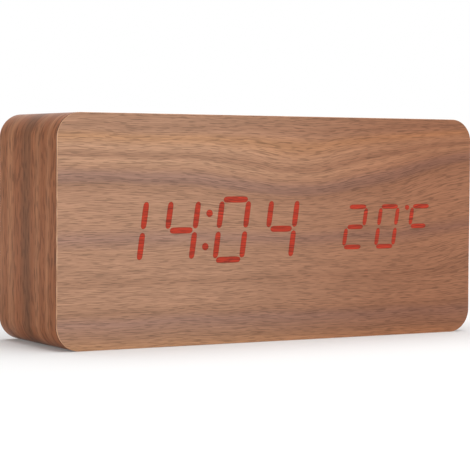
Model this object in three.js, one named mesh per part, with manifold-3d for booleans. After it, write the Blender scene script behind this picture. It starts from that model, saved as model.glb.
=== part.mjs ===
// A digital alarm clock in a walnut block: a wrapped board case with red figures that shine through its front
// veneer, and a battery box and controls at the back.
// X runs along the front to the right, Y from the front to the back, Z up. Lengths are in millimetres.
// The origin is the centre of the footprint, on the surface that the clock stands on.

import * as THREE from "three";
import { mergeVertices } from "three/addons/utils/BufferGeometryUtils.js";
import Module from "manifold-3d";

const wasm = await Module();
wasm.setup();

// Case: outer block
const width = 150;
const depth = 43;
const height = 70;
const cornerRadius = 7.5;

// Case: boards. Walls, corners and insets are shares of the case's height.
const veneerThickness = 0.6;
const ringWallShare = 3 / 35;
const cavityCornerShare = 0.17;
const rebateShare = 3 / 70;
const frontBoardThickness = 3;
const backPanelThickness = 3;
const backRecess = 1.5;
const boardFit = 0.15;
const panelFit = 0.3;

// Case: screws of the back panel
const backScrewInsetShare = 3 / 28;
const backScrewHeadRadius = 2.2;
const backScrewHeadHeight = 1.4;
const backScrewShankRadius = 1.1;
const backScrewLength = 11;
const screwFit = 0.1;
const crossWidth = 0.5;
const crossDepth = 0.7;

// Figures of the time: four seven-bar figures with a colon between the second and the third. Centres and
// pitches are shares of the case's width, and each form's sizes are shares of its pitch.
const timeCentreShare = -0.1677;
const timePitchShare = 0.118;
const timeShares = {
  barSpan: 0.531,
  rowSpan: 0.52,
  barWidth: 0.096,
  endLength: 0.0593,
  outerInset: 0.0254,
  middleInset: 0.048,
  uprightInset: 0.0339,
};
const timeSlant = THREE.MathUtils.degToRad(8);
const colonDotShare = 0.0593;
const colonRiseShare = 0.2853;
const colonShiftShare = 0.0113;

// Figures of the temperature: two figures, then a degree dot and a small c
const temperatureCentreShare = 0.277;
const temperaturePitchShare = 0.08253;
const temperatureRise = 0.2;
const temperatureShares = {
  barSpan: 0.5372,
  rowSpan: 0.517,
  barWidth: 0.105,
  endLength: 0.0808,
  outerInset: 0.0162,
  middleInset: 0.0323,
  uprightInset: 0.0404,
};
const temperatureSlant = THREE.MathUtils.degToRad(9.2);
const degreeDotShare = 0.0606;
const degreeLeadShare = 0.4443;

// Display: light guides, mask and board
const lightSheetThickness = 0.8;
const lightSheetGap = 0.3;
const lightSeam = 0.04;
const wellClearance = 0.08;
const windowMargin = 2.9;
const maskFit = 0.2;
const circuitThickness = 1.6;
const displayBoardSideGap = 2;
const displayBoardOverlap = 6;
const displayScrewInset = 3.2;
const smallScrewHeadRadius = 1.9;
const smallScrewHeadHeight = 1.2;
const smallScrewShankRadius = 0.85;
const displayScrewBite = 2.2;

// Display: parts on the back of the board
const clockChip = { length: 17.8, breadth: 7.5, height: 2.3, legs: 8 };
const driverChip = { length: 9.8, breadth: 3.9, height: 1.5, legs: 5 };
const chipLegWidth = 0.5;
const chipLegReach = 1.3;
const chipLegThickness = 0.3;
const chipStandOff = 0.15;
const clockChipShare = -0.12;
const driverChipShare = 0.1;
const crystalRadius = 1;
const crystalLength = 6.2;
const crystalLeadRadius = 0.2;
const crystalLeadLength = 2;
const crystalGap = 3;
const backupCellRadius = 6.25;
const backupCellThickness = 2;
const backupHolderWall = 1.2;
const backupHolderFloor = 0.8;
const backupCellFit = 0.2;
const backupCellStandProud = 0.4;
const backupShare = -0.31;
const microphoneRadius = 3;
const microphoneHeight = 2.7;
const microphonePortRadius = 0.6;
const microphonePortDepth = 0.8;
const microphoneShare = 0.36;
const thermistorRadius = 1.2;
const thermistorLeadRadius = 0.25;
const thermistorLeadSpacing = 1.3;
const thermistorStandOff = 3;
const thermistorShare = 0.28;
const headerWidth = 9;
const headerBreadth = 4;
const headerHeight = 4;
const headerRise = 8;

// Controls: plate in the back panel
const controlPlateWidth = 46;
const controlPlateHeight = 40;
const controlPlateRadius = 2.5;
const controlFlange = 2;
const controlFlangeThickness = 0.8;
const controlPlugDepth = 2;
const controlSideShare = 0.233;
const controlFit = 0.2;
const bossRadius = 2.6;
const controlBossLength = 5.2;
const controlBossInset = 3.6;
const controlScrewBite = 3.6;
const controlBoardMargin = 0.6;

// Controls: push buttons over tact switches
const buttonPitch = 10;
const buttonRise = 9;
const buttonRadius = 3;
const buttonFit = 0.2;
const buttonProud = 0.6;
const buttonEdge = 0.4;
const buttonFlange = 0.8;
const buttonFlangeThickness = 0.8;
const buttonSeatGap = 0.2;
const buttonStemRadius = 1.6;
const buttonTravel = 0.6;
const buttonMarkSize = 1.1;
const buttonMarkHeight = 0.2;
const switchSize = 6;
const switchHeight = 3.4;
const switchBoreFit = 0.2;
const stemEngagement = 0.3;

// Controls: sound slide switch, buzzer and power inlet
const lowerRowDrop = 10.5;
const soundSwitchLength = 8.8;
const soundSwitchBreadth = 4;
const soundSwitchHeight = 3.6;
const soundSwitchLead = 3;
const leverBaseLength = 2.4;
const leverBaseBreadth = 1.6;
const leverBaseHeight = 1.4;
const leverStemSize = 1.6;
const leverProud = 0.5;
const leverTravel = 2;
const leverFit = 0.2;
const leverGroove = 0.3;
const jackLead = 15.5;
const jackBodySize = 7;
const jackBodyLength = 8;
const jackNoseRadius = 3;
const jackBoreRadius = 1.8;
const jackPinRadius = 0.65;
const jackBackWall = 1.5;
const jackFit = 0.2;
const buzzerLead = -13;
const buzzerRadius = 4.75;
const buzzerHeight = 4.2;
const buzzerPortRadius = 1;
const buzzerPortDepth = 1;
const soundHoleRadius = 0.7;
const soundHoleRing = 2.6;
const soundHoleCount = 6;

// Battery box in the back panel, with four round cells side by side
const cellRadius = 5.25;
const cellLength = 44.5;
const cellNubRadius = 1.9;
const cellNubHeight = 0.8;
const cellEdge = 0.5;
const cellPitch = 10.8;
const cellCount = 4;
const cellSideGap = 0.35;
const cellTopGap = 0.6;
const cellFloorGap = 0.2;
const boxWall = 1.9;
const boxFloor = 1.3;
const boxSideShare = 0.204;
const boxFit = 0.3;
const boxCornerRadius = 1.5;
const bezelWidth = 2;
const bezelProud = 1.2;
const ledgeWidth = 1;
const ribHeight = 2;
const ribWidth = 1.2;
const leadHoleRadius = 0.9;

// Battery contacts
const contactThickness = 0.4;
const contactSize = 8;
const contactGap = 0.05;
const contactReach = 0.2;
const dimpleRadius = 2.2;
const dimpleHeight = 0.5;
const springLength = 3.6;
const springBaseRadius = 3.3;
const springTipRadius = 2;
const springWireRadius = 0.25;
const springTurns = 3;

// Battery door
const doorThickness = 1.8;
const doorFit = 0.3;
const doorSeatGap = 0.1;
const hookWidth = 6;
const hookSpreadShare = 0.28;
const hookThickness = 0.9;
const hookDrop = 2.1;
const hookLeg = 1;
const hookReach = 0.9;
const hookFit = 0.2;
const hookSlotDepth = 1.55;
const ledgeThickness = 0.8;
const tongueWidth = 9;
const tongueLength = 7;
const tongueSlit = 0.8;
const nubDrop = 1.6;
const nubThickness = 1;
const nubClearance = 0.4;
const gripWidth = 0.6;
const gripHeight = 0.25;
const gripCount = 3;
const gripPitch = 1.6;
const notchRadius = 5;
const notchDepth = 0.8;
const notchReach = 1.8;

// Wiring
const leadRadius = 0.6;
const leadGap = 0.05;
const leadChannelGap = 2.6;
const leadPadRise = 4;
const leadPadInset = 6;
const ribbonWidth = 7.5;
const ribbonThickness = 0.7;
const ribbonStraightShare = 0.5;

// How finely round shapes are divided, and how far every cut runs past its piece
const cornerSteps = 6;
const smallCornerSteps = 3;
const barEndSteps = 4;
const roundSides = 24;
const smallSides = 12;
const cellSides = 16;
const wireSides = 8;
const leadSteps = 24;
const springSidesCount = 5;
const springStepsPerTurn = 9;
const overrun = 1;
const mergeDistance = 1e-4;

// Places that follow from the sizes above
const frontFace = -depth / 2;
const panelFace = depth / 2 - backRecess;
const panelInner = panelFace - backPanelThickness;
const ringWall = ringWallShare * height;
const cavityCornerRadius = cavityCornerShare * height;
const rebateWidth = rebateShare * height;
const backScrewInset = backScrewInsetShare * height;
const cavityWidth = width - 2 * ringWall;
const cavityHeight = height - 2 * ringWall;
const middle = height / 2;
const quarter = Math.PI / 2;

// Materials
const walnutSide = new THREE.MeshStandardMaterial({ color: 0x8c5e45, roughness: 0.5, metalness: 0 });
const walnutFront = new THREE.MeshStandardMaterial({ color: 0xa87f66, roughness: 0.5, metalness: 0 });
const walnutBack = new THREE.MeshStandardMaterial({ color: 0x85583f, roughness: 0.55, metalness: 0 });
const fibreboard = new THREE.MeshStandardMaterial({ color: 0xa98d6b, roughness: 0.9, metalness: 0 });
const litRed = new THREE.MeshStandardMaterial({ color: 0xc8402c, roughness: 0.5, metalness: 0 });
litRed.emissive.set(0x7a1408);
const maskWhite = new THREE.MeshStandardMaterial({ color: 0xe6e4de, roughness: 0.6, metalness: 0 });
const circuitGreen = new THREE.MeshStandardMaterial({ color: 0x1f5a3a, roughness: 0.5, metalness: 0 });
const chipBlack = new THREE.MeshStandardMaterial({ color: 0x1b1b1d, roughness: 0.6, metalness: 0 });
const plasticBrown = new THREE.MeshStandardMaterial({ color: 0x2b211c, roughness: 0.55, metalness: 0 });
const plasticDark = new THREE.MeshStandardMaterial({ color: 0x1d1a19, roughness: 0.5, metalness: 0 });
const plasticCream = new THREE.MeshStandardMaterial({ color: 0xe9e2cf, roughness: 0.5, metalness: 0 });
const steel = new THREE.MeshStandardMaterial({ color: 0xb9bcc0, roughness: 0.3, metalness: 1 });
const zincBlack = new THREE.MeshStandardMaterial({ color: 0x3a3a3c, roughness: 0.4, metalness: 1 });
const nickel = new THREE.MeshStandardMaterial({ color: 0xc9c6bd, roughness: 0.25, metalness: 1 });
const cellSleeve = new THREE.MeshStandardMaterial({ color: 0x4f6f8f, roughness: 0.4, metalness: 0.2 });
const beadEpoxy = new THREE.MeshStandardMaterial({ color: 0x2a3a30, roughness: 0.4, metalness: 0 });
const leadRed = new THREE.MeshStandardMaterial({ color: 0xb0261f, roughness: 0.5, metalness: 0 });
const leadBlack = new THREE.MeshStandardMaterial({ color: 0x161616, roughness: 0.5, metalness: 0 });
const ribbonGrey = new THREE.MeshStandardMaterial({ color: 0x9c9fa3, roughness: 0.6, metalness: 0 });

// Turns a closed geometry into a solid that can be joined and cut.
function solid(geometry) {
  const bare = geometry.clone();
  bare.deleteAttribute("normal");
  bare.deleteAttribute("uv");
  const merged = mergeVertices(bare, mergeDistance);
  return new wasm.Manifold(
    new wasm.Mesh({
      numProp: 3,
      vertProperties: merged.attributes.position.array,
      triVerts: new Uint32Array(merged.index.array),
    }),
  );
}

// Turns a solid back into a geometry with flat faces.
function faceted(shape) {
  const mesh = shape.getMesh();
  const geometry = new THREE.BufferGeometry();
  geometry.setAttribute("position", new THREE.BufferAttribute(mesh.vertProperties, 3));
  geometry.setIndex(new THREE.BufferAttribute(mesh.triVerts, 1));
  const flat = geometry.toNonIndexed();
  flat.computeVertexNormals();
  return flat;
}

function join(first, ...others) {
  return others.reduce((whole, piece) => whole.add(piece), first);
}

function cut(first, ...tools) {
  return tools.reduce((whole, tool) => whole.subtract(tool), first);
}

// A rectangle in X and Z with round corners, centred on x and z.
function roundedRectangle(wide, high, radius, x = 0, z = 0) {
  const reachX = wide / 2 - radius;
  const reachZ = high / 2 - radius;
  const outline = new THREE.Shape();
  outline.absarc(x + reachX, z + reachZ, radius, 0, quarter, false);
  outline.absarc(x - reachX, z + reachZ, radius, quarter, 2 * quarter, false);
  outline.absarc(x - reachX, z - reachZ, radius, 2 * quarter, 3 * quarter, false);
  outline.absarc(x + reachX, z - reachZ, radius, 3 * quarter, 4 * quarter, false);
  outline.closePath();
  return outline;
}

// A plate whose outline is drawn in X and Z, and which runs from one depth along Y to another.
function plate(outline, from, to, steps = smallCornerSteps) {
  const geometry = new THREE.ExtrudeGeometry(outline, {
    depth: to - from,
    bevelEnabled: false,
    curveSegments: steps,
  });
  geometry.rotateX(quarter);
  geometry.translate(0, to, 0);
  return geometry;
}

// A block given by its lowest and highest X, Y and Z.
function block(x0, x1, y0, y1, z0, z1) {
  const geometry = new THREE.BoxGeometry(x1 - x0, y1 - y0, z1 - z0);
  geometry.translate((x0 + x1) / 2, (y0 + y1) / 2, (z0 + z1) / 2);
  return geometry;
}

// A round bar along Y, at x and z.
function bar(radius, from, to, x = 0, z = 0, sides = roundSides) {
  const geometry = new THREE.CylinderGeometry(radius, radius, to - from, sides);
  geometry.translate(x, (from + to) / 2, z);
  return geometry;
}

// A round piece turned about Y from a profile of [radius, height] pairs that starts and ends on the axis.
function turned(profile, sides = roundSides) {
  return new THREE.LatheGeometry(
    profile.map(([radius, along]) => new THREE.Vector2(radius, along)),
    sides,
  );
}

// Hangs a named piece in a group.
function place(group, name, geometry, material, x = 0, y = 0, z = 0) {
  const mesh = new THREE.Mesh(geometry, material.clone());
  mesh.name = name;
  mesh.position.set(x, y, z);
  group.add(mesh);
  return mesh;
}

// Two crossed slots in a screw's head, whose top lies at y = 0.
function crossRecess(headRadius) {
  const arm = headRadius * 2 / 3;
  const half = crossWidth / 2;
  return solid(block(-arm, arm, -crossDepth, overrun, -half, half)).add(
    solid(block(-half, half, -crossDepth, overrun, -arm, arm)),
  );
}

// A countersunk screw along Y with the top of its head at y = 0, and the seat that it needs when grown.
function countersunkProfile(grow) {
  const shank = backScrewShankRadius + grow;
  return [
    [0, -backScrewLength - grow],
    [shank / 3, -backScrewLength - grow],
    [shank, -backScrewLength + backScrewShankRadius * 2],
    [shank, -backScrewHeadHeight],
    [backScrewHeadRadius + grow, 0],
    [0, 0],
  ];
}

// A pan-head screw along Y with the top of its head at y = 0.
function panScrew(gripped, bite) {
  const end = -smallScrewHeadHeight - gripped - bite;
  const profile = [
    [0, end],
    [smallScrewShankRadius / 2, end],
    [smallScrewShankRadius, end + smallScrewShankRadius],
    [smallScrewShankRadius, -smallScrewHeadHeight],
    [smallScrewHeadRadius, -smallScrewHeadHeight],
    [smallScrewHeadRadius, -smallScrewHeadHeight / 2],
    [smallScrewHeadRadius * 2 / 3, 0],
    [0, 0],
  ];
  return faceted(cut(solid(turned(profile, smallSides)), crossRecess(smallScrewHeadRadius)));
}

// The case: ring, front veneer, front board, back panel and its screws.
const caseGroup = new THREE.Group();
caseGroup.position.set(0, 0, middle);

const rebateWide = width - 2 * rebateWidth;
const rebateHigh = height - 2 * rebateWidth;
const rebateRadius = Math.max(cornerRadius - rebateWidth, rebateWidth / 2);
const screwX = width / 2 - backScrewInset;
const screwZ = height / 2 - backScrewInset;
const cornerPlaces = [];
for (const sideX of [-1, 1]) {
  for (const sideZ of [-1, 1]) cornerPlaces.push([sideX, sideZ]);
}

function ring() {
  const outer = roundedRectangle(width, height, cornerRadius);
  const whole = solid(plate(outer, frontFace + veneerThickness, depth / 2, cornerSteps));
  const hollow = roundedRectangle(cavityWidth, cavityHeight, cavityCornerRadius);
  const rebate = roundedRectangle(rebateWide, rebateHigh, rebateRadius);
  const pilotEnd = panelFace - backScrewLength - screwFit - backScrewShankRadius;
  const pilotRadius = backScrewShankRadius + screwFit;
  const pilots = cornerPlaces.map(([sideX, sideZ]) =>
    solid(bar(pilotRadius, pilotEnd, panelInner + overrun, sideX * screwX, sideZ * screwZ, smallSides)),
  );
  return faceted(
    cut(
      whole,
      solid(plate(hollow, frontFace, depth / 2 + overrun)),
      solid(plate(rebate, panelInner, depth / 2 + overrun)),
      ...pilots,
    ),
  );
}
place(caseGroup, "case_band", ring(), walnutSide);

// A figure's form from its pitch and its shares of that pitch.
function figureForm(pitch, shares, slant) {
  const sizes = Object.entries(shares).map(([name, share]) => [name, share * pitch]);
  return { ...Object.fromEntries(sizes), slant };
}
const timePitch = timePitchShare * width;
const timeFigure = figureForm(timePitch, timeShares, timeSlant);
const temperaturePitch = temperaturePitchShare * width;
const temperatureFigure = figureForm(temperaturePitch, temperatureShares, temperatureSlant);

// One bar of a seven-bar figure, as points in X and Z about the figure's centre. Letters run a to g: the top
// bar, then clockwise round the figure, and the middle bar last.
function barPoints(figure, letter, grow) {
  const upright = "bcef".includes(letter);
  const right = "bc".includes(letter) ? 1 : -1;
  const rowShare = { a: 1, b: 0.5, c: -0.5, d: -1, e: -0.5, f: 0.5, g: 0 }[letter];
  const inset = upright ? figure.uprightInset : letter === "g" ? figure.middleInset : figure.outerInset;
  const reach = (upright ? figure.rowSpan : figure.barSpan) / 2 - inset + grow;
  const half = figure.barWidth / 2 + grow;
  const end = figure.endLength + grow;
  const centreX = upright ? right * figure.barSpan / 2 : 0;
  const centreZ = rowShare * figure.rowSpan;
  const points = [];
  for (const side of [1, -1]) {
    for (let step = 0; step <= barEndSteps; step += 1) {
      const angle = (step / barEndSteps - 1 / 2) * Math.PI;
      const along = side * (reach - end + end * Math.cos(angle));
      const across = side * half * Math.sin(angle);
      const x = centreX + (upright ? -across : along);
      const z = centreZ + (upright ? along : across);
      points.push(new THREE.Vector2(x + z * Math.tan(figure.slant), z));
    }
  }
  return points;
}

function dotPoints(radius, x, z) {
  const points = [];
  for (let step = 0; step < smallSides; step += 1) {
    const angle = step / smallSides * 2 * Math.PI;
    points.push(new THREE.Vector2(x + radius * Math.cos(angle), z + radius * Math.sin(angle)));
  }
  return points;
}

// Every figure of the display, left to right: its centre, the bars that are lit, and its dots.
const timeCentre = timeCentreShare * width;
const temperatureCentre = temperatureCentreShare * width;
const colonSlope = Math.tan(timeFigure.slant);
const degreeSlope = Math.tan(temperatureFigure.slant);
const degreeDotRise = temperatureFigure.rowSpan - temperatureFigure.barWidth / 4;
const timeFigures = [
  { name: "hour_tens_light", lit: "bc" },
  { name: "hour_units_light", lit: "bcfg" },
  { name: "minute_tens_light", lit: "abcdef" },
  { name: "minute_units_light", lit: "bcfg" },
].map((figure, index) => ({
  ...figure,
  form: timeFigure,
  bars: "abcdefg",
  x: timeCentre + (index - 3 / 2) * timePitch,
  z: 0,
  dots: [],
}));
const temperatureFigures = [
  { name: "temperature_tens_light", lit: "abdeg" },
  { name: "temperature_units_light", lit: "abcdef" },
  { name: "degree_light", lit: "afg" },
].map((figure, index) => ({
  ...figure,
  form: temperatureFigure,
  bars: "abcdefg",
  x: temperatureCentre + (index - 1) * temperaturePitch,
  z: temperatureRise,
  dots: [],
}));
const degreeFigure = temperatureFigures[2];
const degreeDotLead = degreeLeadShare * temperaturePitch;
degreeFigure.dots.push([
  degreeDotShare * temperaturePitch,
  degreeDotRise * degreeSlope - degreeDotLead,
  degreeDotRise,
]);
const colonRise = colonRiseShare * timePitch;
const colonFigure = {
  name: "colon_light",
  lit: "",
  form: timeFigure,
  bars: "",
  x: timeCentre + colonShiftShare * timePitch,
  z: 0,
  dots: [1, -1].map((side) => [colonDotShare * timePitch, side * colonRise * colonSlope, side * colonRise]),
};
const figures = [...timeFigures, colonFigure, ...temperatureFigures];

// The outlines of some bars and the dots of a figure, grown by a clearance.
function lightOutlines(figure, letters, grow) {
  const drawn = [...letters].map((letter) => barPoints(figure.form, letter, grow));
  for (const [radius, x, z] of figure.dots) drawn.push(dotPoints(radius + grow, x, z));
  const centre = new THREE.Vector2(figure.x, figure.z);
  return drawn.map((points) => points.map((point) => point.add(centre)));
}

// How far a figure reaches to either side of its centre.
function figureReach(form) {
  return form.barSpan / 2 + form.barWidth / 2 + form.rowSpan * Math.tan(form.slant);
}

const windowLeft = timeFigures[0].x - figureReach(timeFigure) - windowMargin / 2;
const windowRight = degreeFigure.x + figureReach(temperatureFigure) + windowMargin / 2;
const windowReach = timeFigure.rowSpan + timeFigure.barWidth / 2 + windowMargin;
const maskBack = frontBoardThickness - lightSheetThickness;

// Adds holes to an outline.
function pierced(outline, holes) {
  for (const points of holes) outline.holes.push(new THREE.Path(points));
  return outline;
}

const displayGroup = new THREE.Group();
displayGroup.position.set(0, frontFace + veneerThickness, middle);

const litWindows = figures.flatMap((figure) => lightOutlines(figure, figure.lit, lightSeam));
const veneerOutline = pierced(roundedRectangle(width, height, cornerRadius), litWindows);
place(displayGroup, "front_veneer", plate(veneerOutline, -veneerThickness, 0, cornerSteps), walnutFront);

const displayBoardWidth = cavityWidth - 2 * displayBoardSideGap;
const displayBoardHigh = 2 * (windowReach + displayBoardOverlap);
const displayScrewX = displayBoardWidth / 2 - displayScrewInset;
const displayScrewZ = displayBoardHigh / 2 - displayScrewInset;

function frontBoard() {
  const outline = roundedRectangle(
    cavityWidth - 2 * boardFit,
    cavityHeight - 2 * boardFit,
    cavityCornerRadius - boardFit,
  );
  const throughY = frontBoardThickness + overrun;
  const opening = block(windowLeft, windowRight, -overrun, throughY, -windowReach, windowReach);
  const biteStart = frontBoardThickness - displayScrewBite - screwFit;
  const pilots = cornerPlaces.map(([sideX, sideZ]) =>
    solid(
      bar(
        smallScrewShankRadius + screwFit,
        biteStart,
        throughY,
        sideX * displayScrewX,
        sideZ * displayScrewZ,
        smallSides,
      ),
    ),
  );
  return faceted(cut(solid(plate(outline, 0, frontBoardThickness)), solid(opening), ...pilots));
}
place(displayGroup, "front_board", frontBoard(), fibreboard);

function segmentMask() {
  const outline = new THREE.Shape([
    new THREE.Vector2(windowLeft + maskFit, -windowReach + maskFit),
    new THREE.Vector2(windowRight - maskFit, -windowReach + maskFit),
    new THREE.Vector2(windowRight - maskFit, windowReach - maskFit),
    new THREE.Vector2(windowLeft + maskFit, windowReach - maskFit),
  ]);
  const wells = figures.flatMap((figure) => lightOutlines(figure, figure.bars, wellClearance));
  return plate(pierced(outline, wells), 0, maskBack);
}
place(displayGroup, "segment_mask", segmentMask(), maskWhite);

// The slanted sheet behind a figure that its lit bars stand on. Neighbouring sheets nearly meet.
function lightSheet(left, right, form, z) {
  const high = windowReach - maskFit;
  const slope = Math.tan(form.slant);
  const outline = new THREE.Shape([
    new THREE.Vector2(left + (-high - z) * slope, -high),
    new THREE.Vector2(right + (-high - z) * slope, -high),
    new THREE.Vector2(right + (high - z) * slope, high),
    new THREE.Vector2(left + (high - z) * slope, high),
  ]);
  return plate(outline, maskBack, frontBoardThickness);
}

const timeHalf = (timeFigure.barSpan + timeFigure.barWidth) / 2 + wellClearance;
const colonHalf = (timePitch / 2 - timeHalf - 2 * lightSheetGap) / 2;
const temperatureHalf = (temperatureFigure.barSpan + temperatureFigure.barWidth) / 2 + wellClearance;

function lightGuide(figure) {
  const figureHalf = figure.form === timeFigure ? timeHalf : temperatureHalf;
  const half = figure === colonFigure ? colonHalf : figureHalf;
  const extra = figure === degreeFigure ? temperaturePitch - 2 * temperatureHalf - lightSheetGap : 0;
  const sheet = solid(lightSheet(figure.x - half - extra, figure.x + half, figure.form, figure.z));
  const stems = lightOutlines(figure, figure.lit, 0).map((points) =>
    solid(plate(new THREE.Shape(points), -veneerThickness, frontBoardThickness)),
  );
  return faceted(join(sheet, ...stems));
}
for (const figure of figures) place(displayGroup, figure.name, lightGuide(figure), litRed);

function displayBoard() {
  const sheet = block(
    -displayBoardWidth / 2,
    displayBoardWidth / 2,
    0,
    circuitThickness,
    -displayBoardHigh / 2,
    displayBoardHigh / 2,
  );
  const holes = cornerPlaces.map(([sideX, sideZ]) =>
    solid(
      bar(
        smallScrewShankRadius + screwFit,
        -overrun,
        circuitThickness + overrun,
        sideX * displayScrewX,
        sideZ * displayScrewZ,
        smallSides,
      ),
    ),
  );
  return faceted(cut(solid(sheet), ...holes));
}
place(displayGroup, "display_board", displayBoard(), circuitGreen, 0, frontBoardThickness, 0);

const displayScrew = panScrew(circuitThickness, displayScrewBite);
const displayBack = frontBoardThickness + circuitThickness;
cornerPlaces.forEach(([sideX, sideZ], index) => {
  const x = sideX * displayScrewX;
  const z = sideZ * displayScrewZ;
  const top = displayBack + smallScrewHeadHeight;
  place(displayGroup, `display_screw_${index + 1}`, displayScrew, steel, x, top, z);
});

// A chip with bent legs on both long sides, on a board whose face lies at y = 0.
function chip({ length, breadth, height: tall, legs }) {
  const body = solid(block(-length / 2, length / 2, chipStandOff, tall, -breadth / 2, breadth / 2));
  const kneeHeight = tall / 2 + chipLegThickness / 2;
  const pieces = [];
  for (const side of [-1, 1]) {
    for (let leg = 0; leg < legs; leg += 1) {
      const x = ((leg + 1 / 2) / legs - 1 / 2) * length;
      const inner = side * breadth / 2 * (1 - chipLegWidth / breadth);
      const outer = side * (breadth / 2 + chipLegReach / 2);
      const foot = side * (breadth / 2 + chipLegReach);
      const x0 = x - chipLegWidth / 2;
      const x1 = x + chipLegWidth / 2;
      const kneeIn = outer - side * chipLegThickness;
      const knee = block(
        x0,
        x1,
        kneeHeight - chipLegThickness,
        kneeHeight,
        Math.min(inner, outer),
        Math.max(inner, outer),
      );
      const shin = block(x0, x1, 0, kneeHeight, Math.min(kneeIn, outer), Math.max(kneeIn, outer));
      const sole = block(x0, x1, 0, chipLegThickness, Math.min(kneeIn, foot), Math.max(kneeIn, foot));
      pieces.push(solid(knee), solid(shin), solid(sole));
    }
  }
  return faceted(join(body, ...pieces));
}
const chipLevel = -displayBoardHigh / 8;
const clockChipX = clockChipShare * width;
const driverChipX = driverChipShare * width;
place(displayGroup, "clock_chip", chip(clockChip), chipBlack, clockChipX, displayBack, chipLevel);
place(displayGroup, "driver_chip", chip(driverChip), chipBlack, driverChipX, displayBack, chipLevel);

function timingCrystal() {
  const can = new THREE.CylinderGeometry(crystalRadius, crystalRadius, crystalLength, smallSides);
  can.rotateZ(quarter);
  can.translate(0, crystalRadius, 0);
  const reach = crystalLength / 2;
  const leads = [-1, 1].map((side) => {
    const z = side * crystalRadius / 2;
    const high = crystalRadius + crystalLeadRadius;
    const low = crystalRadius - crystalLeadRadius;
    const back = -crystalLeadRadius;
    const run = block(reach - overrun, reach + crystalLeadLength, low, high, z + back, z - back);
    const end = reach + crystalLeadLength;
    const drop = block(end - 2 * crystalLeadRadius, end, 0, high, z + back, z - back);
    return solid(run).add(solid(drop));
  });
  return faceted(join(solid(can), ...leads));
}
const crystalZ = chipLevel + clockChip.breadth / 2 + chipLegReach + crystalGap;
place(displayGroup, "timing_crystal", timingCrystal(), nickel, clockChipX, displayBack, crystalZ);

const holderRadius = backupCellRadius + backupCellFit + backupHolderWall;
const holderHeight = backupHolderFloor + backupCellThickness - backupCellStandProud;
function backupHolder() {
  const cup = solid(bar(holderRadius, 0, holderHeight));
  const seat = solid(bar(backupCellRadius + backupCellFit, backupHolderFloor, holderHeight + overrun));
  const half = backupCellRadius / 3;
  const thumb = block(-half, half, backupHolderFloor, holderHeight + overrun, 0, holderRadius + overrun);
  return faceted(cut(cup, seat, solid(thumb)));
}
const backupX = backupShare * width;
place(displayGroup, "backup_holder", backupHolder(), chipBlack, backupX, displayBack, 0);
const backupCellEdge = backupCellThickness / 4;
const backupCell = turned([
  [0, 0],
  [backupCellRadius - backupCellEdge, 0],
  [backupCellRadius, backupCellEdge],
  [backupCellRadius, backupCellThickness],
  [0, backupCellThickness],
]);
place(displayGroup, "backup_cell", backupCell, nickel, backupX, displayBack + backupHolderFloor, 0);

function microphone() {
  const can = solid(bar(microphoneRadius, 0, microphoneHeight));
  const portFloor = microphoneHeight - microphonePortDepth;
  const port = bar(microphonePortRadius, portFloor, microphoneHeight + overrun, 0, 0, smallSides);
  return faceted(cut(can, solid(port)));
}
const microphoneX = microphoneShare * width;
place(displayGroup, "microphone", microphone(), steel, microphoneX, displayBack, displayBoardHigh / 8);

function thermistor() {
  const bead = new THREE.SphereGeometry(thermistorRadius, smallSides, smallSides / 2);
  bead.translate(0, thermistorStandOff, 0);
  const leads = [-1, 1].map((side) =>
    solid(bar(thermistorLeadRadius, 0, thermistorStandOff, side * thermistorLeadSpacing / 2, 0, wireSides)),
  );
  return faceted(join(solid(bead), ...leads));
}
const thermistorX = thermistorShare * width;
place(displayGroup, "thermistor", thermistor(), beadEpoxy, thermistorX, displayBack, -displayBoardHigh / 3);

// The back panel: openings for the control plate and the battery box, and countersunk screw holes.
const contactDepth = contactGap + contactThickness + contactReach;
const bayLength = cellLength + 2 * contactDepth + springLength + dimpleHeight;
const bayHigh = (cellCount - 1) * cellPitch + 2 * (cellRadius + cellSideGap);
const boxWide = bayLength + 2 * boxWall;
const boxHigh = bayHigh + 2 * boxWall;
const bezelWide = boxWide + 2 * bezelWidth;
const spareWidth = cavityWidth - bezelWide - controlPlateWidth;
const boxCentre = -cavityWidth / 2 + boxSideShare * spareWidth + bezelWide / 2;
const plugWide = controlPlateWidth - 2 * controlFlange;
const plugHigh = controlPlateHeight - 2 * controlFlange;
const controlCentre = cavityWidth / 2 - controlSideShare * spareWidth - controlPlateWidth / 2;

function backPanel() {
  const fit = 2 * panelFit;
  const outline = roundedRectangle(rebateWide - fit, rebateHigh - fit, rebateRadius - panelFit);
  outline.holes.push(
    roundedRectangle(plugWide + 2 * controlFit, plugHigh + 2 * controlFit, controlPlateRadius, controlCentre),
    roundedRectangle(boxWide + 2 * boxFit, boxHigh + 2 * boxFit, boxCornerRadius + boxFit, boxCentre),
  );
  const seats = cornerPlaces.map(([sideX, sideZ]) => {
    const seat = turned(countersunkProfile(screwFit), smallSides);
    seat.translate(sideX * screwX, panelFace, sideZ * screwZ);
    return solid(seat);
  });
  return faceted(cut(solid(plate(outline, panelInner, panelFace)), ...seats));
}
place(caseGroup, "back_panel", backPanel(), walnutBack);

const backScrewBlank = solid(turned(countersunkProfile(0), smallSides));
const backScrew = faceted(cut(backScrewBlank, crossRecess(backScrewHeadRadius)));
cornerPlaces.forEach(([sideX, sideZ], index) => {
  const name = `back_screw_${index + 1}`;
  place(caseGroup, name, backScrew, zincBlack, sideX * screwX, panelFace, sideZ * screwZ);
});

// The controls, with y = 0 on the outer face of the back panel.
const controlGroup = new THREE.Group();
controlGroup.position.set(controlCentre, panelFace, middle);

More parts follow.
